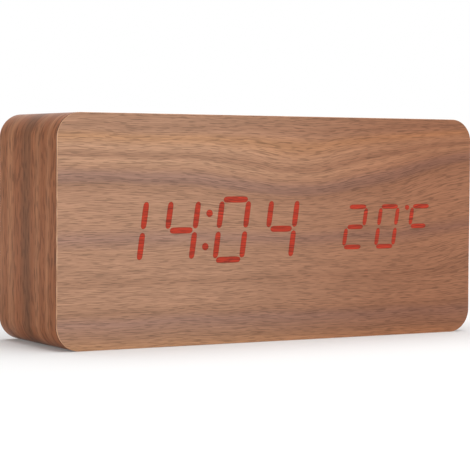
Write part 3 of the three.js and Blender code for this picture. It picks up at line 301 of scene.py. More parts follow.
def turned(name, profile, centre, axis=1, sides=48):
    """A round piece along X or Y, axis 0 or 1: discs of a radius at a place on the axis, each joined to the
    one before."""
    deselect()
    radius, place = profile[0]
    middle = Vector(centre)
    middle[axis] = place
    turn = (math.pi / 2, 0, 0) if axis == 1 else (0, math.pi / 2, 0)
    bpy.ops.mesh.primitive_circle_add(
        vertices=sides, radius=radius, fill_type="NGON", location=middle, rotation=turn
    )
    piece = placed(name)
    bpy.context.tool_settings.mesh_select_mode = (False, False, True)
    bpy.ops.object.mode_set(mode="EDIT")
    bpy.ops.mesh.select_all(action="SELECT")
    for next_radius, next_place in profile[1:]:
        move = Vector((0, 0, 0))
        move[axis] = next_place - place
        middle[axis] = next_place
        growth = Vector((next_radius / radius,) * 3)
        growth[axis] = 1
        bpy.ops.mesh.extrude_region_move(TRANSFORM_OT_translate={"value": move})
        bpy.ops.transform.resize(value=growth, center_override=middle)
        radius, place = next_radius, next_place
    bpy.ops.mesh.select_all(action="SELECT")
    bpy.ops.mesh.normals_make_consistent(inside=False)
    leave_edit()
    return piece


def linked(name, data):
    """A new object of a mesh or a curve, in the scene."""
    piece = bpy.data.objects.new(name, data)
    bpy.context.scene.collection.objects.link(piece)
    return piece


def cloned(piece, name, shift):
    """A copy of a piece with its own mesh, moved in its mesh."""
    mesh = piece.data.copy()
    mesh.transform(Matrix.Translation(shift))
    return linked(name, mesh)


def copied(node, name):
    """A copy of a CAD node as clean faces: its loose triangles are merged and flat neighbours dissolved."""
    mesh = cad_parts[node].data.copy()
    mesh.materials.clear()
    piece = linked(name, mesh)
    focus(piece)
    bpy.ops.mesh.customdata_custom_splitnormals_clear()
    bpy.context.tool_settings.mesh_select_mode = (True, False, False)
    bpy.ops.object.mode_set(mode="EDIT")
    bpy.ops.mesh.select_all(action="SELECT")
    bpy.ops.mesh.remove_doubles(threshold=NEAR)
    bpy.ops.mesh.dissolve_limited(angle_limit=math.radians(0.5))
    leave_edit()
    return piece


def centre_of(node):
    low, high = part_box(node)
    return (low + high) / 2


def outline_depth(point, low, high, corner):
    """How far a point lies inside a block's rounded outline, seen along Y."""
    middle = (low + high) / 2
    x = abs(point.x - middle.x) - (high.x - low.x) / 2 + corner
    z = abs(point.z - middle.z) - (high.z - low.z) / 2 + corner
    return corner - math.hypot(max(x, 0), max(z, 0)) - min(max(x, z), 0)


def along_y(a, b):
    return abs((b - a).normalized().y) > 0.99


def pick(piece, kind, test):
    """Opens a piece in edit mode with the edges or faces that pass a test selected. The test gets an edge's
    two ends, or a face's centre and normal."""
    focus(piece)
    mesh = piece.data
    for elements in (mesh.vertices, mesh.edges, mesh.polygons):
        elements.foreach_set("select", [False] * len(elements))
    points = mesh.vertices
    if kind == "EDGE":
        picked = [edge for edge in mesh.edges if test(*[points[i].co for i in edge.vertices])]
    else:
        picked = [face for face in mesh.polygons if test(face.center, face.normal)]
    if not picked:
        raise RuntimeError(f"no {kind.lower()} of {piece.name} passes the test")
    for element in picked:
        element.select = True
        for i in element.vertices:
            points[i].select = True
    bpy.context.tool_settings.mesh_select_mode = (False, kind == "EDGE", kind == "FACE")
    bpy.ops.object.mode_set(mode="EDIT")


def leave_edit():
    bpy.ops.object.mode_set(mode="OBJECT")


def round_edges(piece, test, radius, steps):
    """Rounds the edges that pass a test."""
    pick(piece, "EDGE", test)
    bpy.ops.mesh.bevel(offset=radius, offset_type="OFFSET", segments=steps, profile=0.5, affect="EDGES")
    leave_edit()


def carve(piece, tools, operation="DIFFERENCE"):
    """Cuts tools out of a piece, or joins them to it, and removes them."""
    focus(piece)
    for tool in tools:
        modifier = piece.modifiers.new("carve", "BOOLEAN")
        modifier.operation = operation
        modifier.object = tool
        modifier.solver = "EXACT"
        bpy.ops.object.modifier_apply(modifier=modifier.name)
        bpy.data.objects.remove(tool)


def soften(piece, width, steps=2, from_angle=50):
    """Rounds every edge sharper than an angle, and shades the piece smooth but for the edges left."""
    focus(piece)
    modifier = piece.modifiers.new("soften", "BEVEL")
    modifier.width = width
    modifier.segments = steps
    modifier.limit_method = "ANGLE"
    modifier.angle_limit = math.radians(from_angle)
    bpy.ops.object.modifier_apply(modifier=modifier.name)
    smooth(piece)


def smooth(piece, angle=35):
    """Shades a piece smooth but for its sharp edges, and keeps its flat faces flat up to their edges."""
    focus(piece)
    bpy.ops.object.shade_smooth_by_angle(angle=math.radians(angle))
    modifier = piece.modifiers.new("flat_faces", "WEIGHTED_NORMAL")
    modifier.keep_sharp = True
    bpy.ops.object.modifier_apply(modifier=modifier.name)


def dress(piece, name, body, recipes, node):
    """Names a finished piece, gives it its materials and its body, and hides the CAD node that it stands
    for.
    """
    piece.name = name
    for recipe in recipes:
        piece.data.materials.append(look(recipe))
    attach(piece, body)
    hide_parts(node)


def paint(piece, index, test):
    """Gives the faces that pass a test of centre and normal the material with an index."""
    for face in piece.data.polygons:
        if test(face.center, face.normal):
            face.material_index = index


# Helpers for materials

# The inputs of a colour Mix node: the share of its second colour, and its two colours.
SHARE, FIRST, SECOND = 0, 6, 7


def add(tree, kind, inputs=None, stops=None, **settings):
    """Adds a node with its settings, the stops of its colour ramp and its inputs. An input is a value, a
    socket to link, or a node whose first output in use is linked."""
    node = tree.nodes.new(kind)
    for name, value in settings.items():
        setattr(node, name, value)
    for key, value in (inputs or {}).items():
        if isinstance(value, bpy.types.Node):
            value = next(output for output in value.outputs if output.enabled)
        if isinstance(value, bpy.types.NodeSocket):
            tree.links.new(value, node.inputs[key])
        else:
            node.inputs[key].default_value = value
    if stops:
        ramp = node.color_ramp.elements
        while len(ramp) < len(stops):
            ramp.new(1.0)
        for element, (place, code) in zip(ramp, stops):
            element.position = place
            element.color = linear(code)
    return node


def look(recipe):
    """The material that a recipe makes and is named for, made the first time that it is asked for. A recipe
    gets the node tree and the place on the clock in millimetres, and gives the shader's inputs."""
    material = bpy.data.materials.get(recipe.__name__)
    if material is None:
        material = bpy.data.materials.new(recipe.__name__)
        material.use_nodes = True
        tree = material.node_tree
        tree.nodes.clear()
        at = add(tree, "ShaderNodeTexCoord").outputs["Object"]
        place = add(tree, "ShaderNodeMapping", {"Vector": at, "Scale": (1 / MM,) * 3})
        shader = add(tree, "ShaderNodeBsdfPrincipled", recipe(tree, place))
        add(tree, "ShaderNodeOutputMaterial", {"Surface": shader})
    return material


def streaks(tree, place, stretch, detail=2.0, turn=(0, 0, 0)):
    """Noise with a cell about 1 / stretch millimetres long on each axis. A turn of its cells keeps the ends
    of long ones from lining up."""
    cells = add(tree, "ShaderNodeMapping", {"Vector": place, "Scale": stretch, "Rotation": turn})
    return add(tree, "ShaderNodeTexNoise", {"Vector": cells, "Scale": 1.0, "Detail": detail})


def wander(tree, value, place, period, reach):
    """A value that drifts by up to half a reach either way over a period of so many millimetres."""
    drift = streaks(tree, place, (1 / period,) * 3, 1.0)
    level = add(tree, "ShaderNodeMath", {0: drift, 1: 0.5}, operation="SUBTRACT")
    return add(tree, "ShaderNodeMath", {0: level, 1: reach, 2: value}, operation="MULTIPLY_ADD")


# Walnut


# Walnut's own colours, from its sapwood edge to its dark streaks.
PALE, HONEY, TAN, BROWN, GREY, DARK = "b68c6f", "b48663", "a98066", "a0785f", "997564", "926f5e"
# Foil on the sides is redder and darker.
FOIL_LIGHT, FOIL_MID, FOIL_DARK = "9f6b4b", "8f593b", "7b4f35"

# The front's figure from the bottom to the top of the face, as shares of its height.
FRONT_BANDS = (
    (0.0, HONEY), (0.05, BROWN), (0.11, GREY), (0.15, BROWN), (0.2, TAN), (0.25, TAN), (0.28, BROWN),
    (0.31, TAN), (0.42, TAN), (0.47, GREY), (0.52, TAN), (0.63, TAN), (0.69, BROWN), (0.715, DARK),
    (0.74, GREY), (0.77, TAN), (0.8, PALE), (0.82, BROWN), (0.86, PALE), (0.9, HONEY), (0.93, TAN),
    (0.95, BROWN), (0.97, TAN), (1.0, BROWN),
)
# Where the front's grain sinks: centre x and z, reach along x and z, and how far it sinks, in millimetres.
FRONT_SWELLS = (
    (8, 48, 26, 14, 4.5),
    (84, 54, 32, 12, -8),
    (82, 27, 20, 9, -5),
    (6, 57, 12, 5, 1.1),
)
BACK_BANDS = (
    (0.0, FOIL_MID), (0.12, FOIL_DARK), (0.3, FOIL_LIGHT), (0.46, FOIL_MID), (0.55, FOIL_DARK),
    (0.7, FOIL_LIGHT), (0.85, FOIL_MID), (1.0, FOIL_DARK),
)
BACK_SWELLS = (
    (-30, 30, 34, 14, -6),
    (60, 52, 30, 12, 7),
    (20, 12, 26, 9, 4),
)
# The foil's stripes from the front edge to the back edge, as shares of the block's depth.
FOIL_STRIPES = (
    (0.0, FOIL_MID), (0.1, FOIL_MID), (0.15, FOIL_LIGHT), (0.2, FOIL_MID), (0.26, FOIL_MID),
    (0.32, FOIL_LIGHT), (0.4, FOIL_MID), (0.46, FOIL_DARK), (0.54, FOIL_DARK), (0.62, FOIL_MID),
    (0.69, FOIL_MID), (0.77, FOIL_LIGHT), (0.81, FOIL_LIGHT), (0.86, FOIL_MID), (1.0, FOIL_LIGHT),
)
# How light a lit bar's rim is beside its middle.
RIM_GLOW = 0.45


def sheet_grain(tree, place, swells):
    """A place in a sheet of straight grain that sinks and swells with the figure, and its height."""
    parts = add(tree, "ShaderNodeSeparateXYZ", {0: place})
    height = parts.outputs["Z"]
    for x, z, reach_x, reach_z, sink in swells:
        shift = (-x / reach_x, 0, -z / reach_z)
        shrink = (1 / reach_x, 0, 1 / reach_z)
        near = add(tree, "ShaderNodeMapping", {"Vector": place, "Location": shift, "Scale": shrink})
        square = add(tree, "ShaderNodeVectorMath", {0: near, 1: near}, operation="DOT_PRODUCT")
        fall = add(tree, "ShaderNodeMath", {0: square, 1: -1.0}, operation="MULTIPLY")
        bell = add(tree, "ShaderNodeMath", {0: fall}, operation="EXPONENT")
        height = add(tree, "ShaderNodeMath", {0: bell, 1: sink, 2: height}, operation="MULTIPLY_ADD")
    height = wander(tree, height, place, 25.0, 2.0)
    height = wander(tree, height, place, 6.0, 0.3)
    grain = {0: parts.outputs["X"], 1: parts.outputs["Y"], 2: height}
    return add(tree, "ShaderNodeCombineXYZ", grain), height


def wood_tone(tree, grain, axis, fineness):
    """How light the wood is at a place in the grain, which is finest along an axis, and how deep its pores
    are. Each layer has its cells per millimetre along and across the grain, its detail, the turn of its
    cells, and the levels of its noise between which it runs from one tone to another."""
    turn = (0.6, 0.5, 0.4)
    layers = (
        (0.02, 0.45, 1.0, (0, 0, 0), (0.3, 0.7, 0.95, 1.05)),  # long streaks
        (0.07, 1.9 * fineness, 1.0, turn, (0.3, 0.7, 0.83, 1.17)),  # fibres
        (0.28, 1.8 * fineness, 0.0, turn, (0.53, 0.66, 1.04, 0.73)),  # pores
    )
    tone = None
    for along, across, detail, cell_turn, (low, high, from_tone, to_tone) in layers:
        stretch = Vector((along,) * 3)
        stretch[axis] = across
        noise = streaks(tree, grain, stretch, detail, cell_turn)
        tones = {"From Min": low, "From Max": high, "To Min": from_tone, "To Max": to_tone}
        layer = add(tree, "ShaderNodeMapRange", {"Value": noise, **tones})
        tone = add(tree, "ShaderNodeMath", {0: tone, 1: layer}, operation="MULTIPLY") if tone else layer
    return tone, layer


def walnut_sheet(tree, place, swells, bands):
    """The colour of a flat sheet of walnut, its tone, and how deep its pores are."""
    grain, height = sheet_grain(tree, place, swells)
    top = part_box("front_veneer")[1].z / MM
    share = add(tree, "ShaderNodeMath", {0: height, 1: top}, operation="DIVIDE")
    figure = add(tree, "ShaderNodeValToRGB", {0: share}, stops=bands)
    # The sheet darkens and reddens towards its right end: partly its own colour, partly painted shade.
    along = add(tree, "ShaderNodeSeparateXYZ", {0: place}).outputs["X"]
    ends = {"Value": along, "From Min": -45.0, "From Max": 65.0}
    right_tint_and_painted_shade = add(tree, "ShaderNodeMapRange", ends, interpolation_type="SMOOTHSTEP")
    tint = {SHARE: right_tint_and_painted_shade, FIRST: figure, SECOND: linear("e3ccbe")}
    figure = add(tree, "ShaderNodeMix", tint, data_type="RGBA", blend_type="MULTIPLY")
    # Fibres are drawn 0.2 mm across, coarser than the real 0.05 mm, so that they show in the picture.
    tone, pores = wood_tone(tree, grain, 2, 2.4)
    wood = add(tree, "ShaderNodeVectorMath", {0: figure, "Scale": tone}, operation="SCALE")
    return wood, tone, pores


def walnut_veneer(tree, place):
    """Sliced walnut veneer, sanded and oiled to a satin: pores stay open as short dark dashes, and the
    figure arches across the face. It is thin enough for the red light behind it to come through, and the
    light shows in its own grain where it has a glow attribute."""
    wood, tone, pores = walnut_sheet(tree, place, FRONT_SWELLS, FRONT_BANDS)
    colours = bpy.context.scene.clock_colours
    glow = add(tree, "ShaderNodeAttribute", attribute_name="glow").outputs["Fac"]
    lit = add(tree, "ShaderNodeMath", {0: glow, 1: RIM_GLOW / 2}, operation="GREATER_THAN")
    # Where a bar glows, the wood's colour gives way to a red one: painted light, besides the light given
    # off.
    reddened = {0: tuple(colours.glow_painted_wood), "Scale": tone}
    glow_painted_wood = add(tree, "ShaderNodeVectorMath", reddened, operation="SCALE")
    wood = add(tree, "ShaderNodeMix", {SHARE: lit, FIRST: wood, SECOND: glow_painted_wood}, data_type="RGBA")
    through = add(tree, "ShaderNodeMath", {0: tone, 1: tone}, operation="MULTIPLY")
    through = add(tree, "ShaderNodeMath", {0: through, 1: glow}, operation="MULTIPLY")
    shining = {0: tuple(colours.light), "Scale": through}
    light = add(tree, "ShaderNodeVectorMath", shining, operation="SCALE")
    return {
        "Base Color": wood,
        "Roughness": 0.55,
        "Specular IOR Level": 0.18,
        "Emission Color": light,
        "Emission Strength": 1.0,
        "Normal": add(tree, "ShaderNodeBump", {"Height": pores, "Strength": 0.3, "Distance": 0.05 * MM}),
    }


def walnut_back_board(tree, place):
    """Walnut-faced board of the back panel, rolled with a matt lacquer: redder and more even than the
    front."""
    wood, _, pores = walnut_sheet(tree, place, BACK_SWELLS, BACK_BANDS)
    return {
        "Base Color": wood,
        "Roughness": 0.55,
        "Specular IOR Level": 0.18,
        "Normal": add(tree, "ShaderNodeBump", {"Height": pores, "Strength": 0.3, "Distance": 0.05 * MM}),
    }


def veneer_edge_painted_highlight(tree, place):
    """The veneer's cut edge, sanded by hand: raw wood with fine saw lines, paler than the face, partly as
    its own colour and partly as a painted highlight where the rounded edge catches the light.
    """
    saw = streaks(tree, place, (0.25, 1.0, 0.25), 3.0)
    stops = ((0.38, "b08263"), (0.5, "cb9a78"), (0.66, "dcb08e"))
    return {
        "Base Color": add(tree, "ShaderNodeValToRGB", {0: saw}, stops=stops),
        "Roughness": 0.7,
        "Specular IOR Level": 0.2,
        "Normal": add(tree, "ShaderNodeBump", {"Height": saw, "Strength": 0.2, "Distance": 0.03 * MM}),
    }


def walnut_foil(tree, place):
    """Walnut foil glued round the ring and sealed with a thin lacquer: stripes run along the foil and round
    its corners, and the flat lacquer gives a soft sheen at low angles."""
    parts = add(tree, "ShaderNodeSeparateXYZ", {0: place})
    across = wander(tree, parts.outputs["Y"], place, 60.0, 4.0)
    across = wander(tree, across, place, 9.0, 0.8)
    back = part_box("case_band")[1].y
    ends = {"From Min": FRONT / MM, "From Max": back / MM}
    share = add(tree, "ShaderNodeMapRange", {"Value": across, **ends})
    stripes = add(tree, "ShaderNodeValToRGB", {0: share}, stops=FOIL_STRIPES)
    grain = {0: parts.outputs["X"], 1: across, 2: parts.outputs["Z"]}
    # The camera sees the sides at a low angle, so their fibres are drawn 0.8 mm across.
    tone, pores = wood_tone(tree, add(tree, "ShaderNodeCombineXYZ", grain), 1, 0.65)
    return {
        "Base Color": add(tree, "ShaderNodeVectorMath", {0: stripes, "Scale": tone}, operation="SCALE"),
        "Roughness": 0.28,
        "Specular IOR Level": 0.02,
        "Normal": add(tree, "ShaderNodeBump", {"Height": pores, "Strength": 0.3, "Distance": 0.04 * MM}),
    }


def glue_and_painted_joint_shade(tree, place):
    """Brown glue squeezed into the joint between foil and veneer and wiped: a thin uneven dark line, partly
    the glue's own colour and partly painted shade in the narrow joint, darkest as painted shadow where the
    joint stands open round the top left corner."""
    beads = streaks(tree, place, (0.08,) * 3, 1.0)
    glue = add(tree, "ShaderNodeValToRGB", {0: beads}, stops=((0.4, "5f3d2b"), (0.6, "7a523b")))
    low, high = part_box("front_veneer")
    corner = Vector((low.x, low.y, high.z)) / MM
    away = add(tree, "ShaderNodeVectorMath", {0: place, 1: corner}, operation="DISTANCE")
    # Painted shadow: darker towards the top left corner, where the joint stands open.
    gap = {"From Min": 5.5, "From Max": 8.0, "To Min": 0.2, "To Max": 1.0}
    shade = add(tree, "ShaderNodeMapRange", {"Value": away, **gap})
    return {
        "Base Color": add(tree, "ShaderNodeVectorMath", {0: glue, "Scale": shade}, operation="SCALE"),
        "Roughness": 0.6,
        "Specular IOR Level": 0.2,
    }


def raw_fibreboard(tree, place):
    """Medium-density fibreboard, sawn and left raw: a dull brown felt of fibres with darker flecks."""
    fleck = streaks(tree, place, (1.6,) * 3, 5.0)
    stops = ((0.3, "7d6348"), (0.5, "a48763"), (0.72, "bb9f79"))
    return {
        "Base Color": add(tree, "ShaderNodeValToRGB", {0: fleck}, stops=stops),
        "Roughness": 0.9,
        "Specular IOR Level": 0.2,
        "Normal": add(tree, "ShaderNodeBump", {"Height": fleck, "Strength": 0.4, "Distance": 0.1 * MM}),
    }


# Plastics, metals and boards


def light_guide_acrylic(tree, place):
    """Cast acrylic light guide, lit from behind: red, with a faint cloud of diffuser in it."""
    cloud = streaks(tree, place, (0.4,) * 3, 3.0)
    stops = ((0.3, "8c1f12"), (0.7, "c2331f"))
    return {
        "Base Color": add(tree, "ShaderNodeValToRGB", {0: cloud}, stops=stops),
        "Roughness": 0.25,
        "Emission Color": linear("d8321c"),
        "Emission Strength": 0.35,
    }


def moulded(tree, place, dark, light, roughness, speck, depth):
    """Moulded plastic whose steel mould was spark-eroded: specks of a size stand up by a depth, both in
    millimetres, and the colour clouds a little where the melt flowed."""
    flow = streaks(tree, place, (0.12,) * 3, 3.0)
    grit = streaks(tree, place, (1 / speck,) * 3)
    sheen = {"From Min": 0.35, "From Max": 0.65, "To Min": roughness - 0.06, "To Max": roughness + 0.08}
    return {
        "Base Color": add(tree, "ShaderNodeValToRGB", {0: flow}, stops=((0.3, dark), (0.7, light))),
        "Roughness": add(tree, "ShaderNodeMapRange", {"Value": grit, **sheen}),
        "Normal": add(tree, "ShaderNodeBump", {"Height": grit, "Strength": 0.5, "Distance": depth * MM}),
    }


def dark_abs(tree, place):
    """ABS moulded in a spark-eroded tool: near-black with a fine even grain that scatters the sheen."""
    return moulded(tree, place, "1c1c1e", "2c2c2f", 0.52, 0.4, 0.03)


def brown_abs(tree, place):
    """Brown ABS of the buttons, moulded and polished on top: a satin skin that picks out each edge."""
    return moulded(tree, place, "4a3228", "573b2f", 0.4, 0.5, 0.01)


def cream_acetal(tree, place):
    """Natural acetal of the sound lever, moulded: waxy and off-white, a little shiny where it is rubbed."""
    return moulded(tree, place, "dcd5c4", "ece6d8", 0.38, 0.6, 0.01)


def mask_polystyrene(tree, place):
    """White polystyrene of the segment mask, moulded thin: matt and slightly cloudy to spread the light."""
    return moulded(tree, place, "d9d8d3", "e9e8e4", 0.6, 0.5, 0.015)


def chip_epoxy(tree, place):
    """Black epoxy of the chips, transfer-moulded: matt, with its filler as tiny specks. The switches, the
    buzzer and the inlet are of a black plastic that looks the same."""
    return moulded(tree, place, "19191a", "242425", 0.6, 0.2, 0.015)


def bead_epoxy_dip(tree, place):
    """Dipped epoxy bead of the thermistor: dark and glossy, thicker at the bottom where it ran."""
    return moulded(tree, place, "1c1a18", "2a2723", 0.25, 1.2, 0.02)


def red_pvc(tree, place):
    """Extruded PVC on the positive lead: even red with faint drag lines and a soft sheen."""
    return moulded(tree, place, "96201a", "b02a22", 0.4, 0.8, 0.01)


def black_pvc(tree, place):
    """Extruded PVC on the negative lead: black with faint drag lines and a soft sheen."""
    return moulded(tree, place, "18181a", "232326", 0.4, 0.8, 0.01)


def ribbon_pvc(tree, place):
    """Flat ribbon of bonded grey PVC wires: a ridge for each wire with painted shade in the groove between
    two wires, and a red first wire.
    """
    wire = 1.27
    across = add(tree, "ShaderNodeSeparateXYZ", {0: place}).outputs["X"]
    phase = add(tree, "ShaderNodeMath", {0: across, 1: 2 * math.pi / wire}, operation="MULTIPLY")
    ridge = add(tree, "ShaderNodeMath", {0: phase}, operation="SINE")
    level = add(tree, "ShaderNodeMapRange", {"Value": ridge, "From Min": -1.0})
    # The grey follows the ridges, darker in each groove: painted shade.
    grey = add(tree, "ShaderNodeValToRGB", {0: level}, stops=((0.1, "6f7072"), (0.6, "a9aaac")))
    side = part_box("ribbon_cable")[0].x / MM
    first = add(tree, "ShaderNodeMath", {0: across, 1: side + wire}, operation="LESS_THAN")
    wires = {SHARE: first, FIRST: grey, SECOND: linear("b0342a")}
    return {
        "Base Color": add(tree, "ShaderNodeMix", wires, data_type="RGBA"),
        "Roughness": 0.45,
        "Normal": add(tree, "ShaderNodeBump", {"Height": ridge, "Strength": 0.6, "Distance": 0.1 * MM}),
    }


def solder_mask(tree, place):
    """Glass-epoxy board under green solder mask: copper traces show as paler lines, between tinned pads."""
    lanes = add(tree, "ShaderNodeMapping", {"Vector": place, "Scale": (0.55, 0.01, 0.4)})
    cells = add(tree, "ShaderNodeTexVoronoi", {"Vector": lanes, "Scale": 1.0}, distance="MANHATTAN")
    rings = add(tree, "ShaderNodeMath", {0: cells, 1: 6.0}, operation="MULTIPLY")
    wave = add(tree, "ShaderNodeMath", {0: rings}, operation="FRACT")
    trace = add(tree, "ShaderNodeMath", {0: wave, 1: 0.72}, operation="GREATER_THAN")
    greens = {SHARE: trace, FIRST: linear("184a30"), SECOND: linear("2d6b45")}
    mask = add(tree, "ShaderNodeMix", greens, data_type="RGBA")
    points = add(tree, "ShaderNodeTexVoronoi", {"Vector": place, "Scale": 0.22})
    pad = add(tree, "ShaderNodeMath", {0: points, 1: 0.13}, operation="LESS_THAN")
    tinned = {SHARE: pad, FIRST: mask, SECOND: linear("b9b6ab")}
    return {
        "Base Color": add(tree, "ShaderNodeMix", tinned, data_type="RGBA"),
        "Metallic": pad,
        "Roughness": 0.35,
        "Normal": add(tree, "ShaderNodeBump", {"Height": trace, "Strength": 0.5, "Distance": 0.03 * MM}),
    }


def cell_film(tree, place):
    """Shrunk PVC film round the cells: dark grey, printed with copper-coloured rings, glossy and wavy."""
    along = add(tree, "ShaderNodeSeparateXYZ", {0: place}).outputs["X"]
    middle = centre_of("battery_box").x / MM
    reach = 23.0
    off = add(tree, "ShaderNodeMath", {0: along, 1: middle}, operation="SUBTRACT")
    off = add(tree, "ShaderNodeMath", {0: off}, operation="ABSOLUTE")
    share = add(tree, "ShaderNodeMath", {0: off, 1: reach}, operation="DIVIDE")
    rings = (
        (0.0, "2c2d30"),
        (0.6, "2c2d30"),
        (0.61, "b5713c"),
        (0.8, "c07d45"),
        (0.81, "1f2023"),
        (1.0, "1f2023"),
    )
    ink = add(tree, "ShaderNodeValToRGB", {0: share}, stops=rings)
    film = streaks(tree, place, (0.3,) * 3)
    tones = {"From Min": 0.3, "From Max": 0.7, "To Min": 0.85, "To Max": 1.15}
    tone = add(tree, "ShaderNodeMapRange", {"Value": film, **tones})
    return {
        "Base Color": add(tree, "ShaderNodeVectorMath", {0: ink, "Scale": tone}, operation="SCALE"),
        "Roughness": 0.22,
        "Normal": add(tree, "ShaderNodeBump", {"Height": film, "Strength": 0.3, "Distance": 0.1 * MM}),
    }


def worked_metal(tree, place, dark, light, roughness, stretch):
    """Metal with a worked surface: marks stretched on each axis change its sheen and tint."""
    marks = streaks(tree, place, stretch, 3.0)
    sheen = {"From Min": 0.3, "From Max": 0.7, "To Min": roughness - 0.08, "To Max": roughness + 0.1}
    return {
        "Base Color": add(tree, "ShaderNodeValToRGB", {0: marks}, stops=((0.3, dark), (0.7, light))),
        "Metallic": 1.0,
        "Roughness": add(tree, "ShaderNodeMapRange", {"Value": marks, **sheen}),
        "Normal": add(tree, "ShaderNodeBump", {"Height": marks, "Strength": 0.4, "Distance": 0.01 * MM}),
    }


def plated_steel(tree, place):
    """Bright zinc-plated steel of the small screws and cans: cool grey, with faint lines from rolling."""
    return worked_metal(tree, place, "a4a6aa", "c8cacd", 0.3, (4.0, 0.5, 0.5))


def black_zinc_plate(tree, place):
    """Black zinc on the back screws: dark and satin, with faint marks that change its sheen and tint."""
    return worked_metal(tree, place, "1d1d1f", "37373a", 0.42, (2.0,) * 3)


def nickel_plate(tree, place):
    """Nickel on spring steel, stamped and barrel-plated: warm bright grey with soft scuffs."""
    return worked_metal(tree, place, "b3ab9d", "d6cfc2", 0.26, (1.5,) * 3)


# Stage


class CLOCK_OT_stage(Operator):
    """Adds the floor, the soft lamps, the white surroundings and the camera at the photograph's angle"""

    bl_idname = "clock.stage"
    bl_label = "Stage"

    def execute(self, context):
        self.floor(context)
        self.world(context)
        self.lamps()
        self.camera(context)
        return {"FINISHED"}

    def floor(self, context):
        """A pale floor just below the clock. It gives light of its own away from the clock, so that it is
        seen as white there."""
        gap = 0.02 * MM
        deselect()
        bpy.ops.mesh.primitive_plane_add(size=12, location=(0, 0, -gap))
        floor = placed("floor")
        material = bpy.data.materials.new("pale_floor")
        material.use_nodes = True
        tree = material.node_tree
        tree.nodes.clear()
        place = add(tree, "ShaderNodeTexCoord").outputs["Object"]
        away = add(tree, "ShaderNodeVectorMath", {0: place}, operation="LENGTH")
        spread = {"Value": away, "From Min": 0.12, "From Max": 0.5, "To Min": 0.1, "To Max": 1.0}
        fill = add(tree, "ShaderNodeMapRange", spread, interpolation_type="SMOOTHSTEP")
        rays = add(tree, "ShaderNodeLightPath").outputs
        seen = {0: rays["Is Camera Ray"], 1: rays["Is Glossy Ray"]}
        seen = add(tree, "ShaderNodeMath", seen, operation="ADD", use_clamp=True)
        inputs = {
            "Base Color": (*context.scene.clock_colours.floor, 1),
            "Roughness": 0.9,
            "Specular IOR Level": 0.0,
            "Emission Color": (1, 1, 1, 1),
            "Emission Strength": add(tree, "ShaderNodeMath", {0: seen, 1: fill}, operation="MULTIPLY"),
        }
        add(tree, "ShaderNodeOutputMaterial", {"Surface": add(tree, "ShaderNodeBsdfPrincipled", inputs)})
        floor.data.materials.append(material)

    def world(self, context):
        """White surroundings for camera, reflected and transmitted rays, and soft daylight for the rest."""
        daylight = 0.34
        world = bpy.data.worlds.new("white_room")
        context.scene.world = world
        world.use_nodes = True
        tree = world.node_tree
        tree.nodes.clear()
        rays = add(tree, "ShaderNodeLightPath").outputs
        seen = rays["Is Camera Ray"]
        for ray in ("Is Glossy Ray", "Is Transmission Ray"):
            seen = add(tree, "ShaderNodeMath", {0: seen, 1: rays[ray]}, operation="ADD", use_clamp=True)
        strength = add(tree, "ShaderNodeMapRange", {"Value": seen, "To Min": daylight, "To Max": 1.0})
        sky = add(tree, "ShaderNodeBackground", {"Color": (1, 1, 1, 1), "Strength": strength})
        add(tree, "ShaderNodeOutputWorld", {"Surface": sky})

    def lamps(self):
        """A large soft lamp above, and softer ones in front and at the left. Each has its place, what it
        aims at, its width and its power."""
        lamps = (
            ("top_lamp", (0.1, 0.1, 0.9), (0, 0, 0.03), 0.9, 6.2),
            ("front_lamp", (0.25, -1.0, 0.45), (-0.05, 0, 0.03), 0.6, 5.6),
            ("side_lamp", (-0.5, -0.15, 0.06), (-0.075, 0, 0.01), 0.2, 0.7),
        )
        for name, place, target, width, power in lamps:
            turn = (Vector(place) - Vector(target)).to_track_quat("Z", "Y").to_euler()
            deselect()
            bpy.ops.object.light_add(type="AREA", location=place, rotation=turn)
            lamp = bpy.context.object
            lamp.name = name
            lamp.data.shape = "DISK"
            lamp.data.size = width
            lamp.data.energy = power

    def camera(self, context):
        """The camera of the photograph, from a fit of the block's outline to its outline there."""
        eye = Vector((-293.8, -496.6, 57.3)) * MM
        forward = Vector((0.5053, 0.8618, -0.0435)).normalized()
        up = Vector((0.016, 0.041, 0.999))
        focal_pixels = 1798.3
        photo_width = 470
        right = forward.cross(up).normalized()
        up = right.cross(forward)
        turn = Matrix((right, up, -forward)).transposed().to_euler()
        deselect()
        bpy.ops.object.camera_add(location=eye, rotation=turn)
        camera = bpy.context.object
        camera.name = "photo_camera"
        camera.data.sensor_width = 36
        camera.data.lens = focal_pixels / photo_width * camera.data.sensor_width
        camera.data.clip_start = 0.01
        context.scene.camera = camera
        context.scene.view_settings.view_transform = "Standard"


# Case


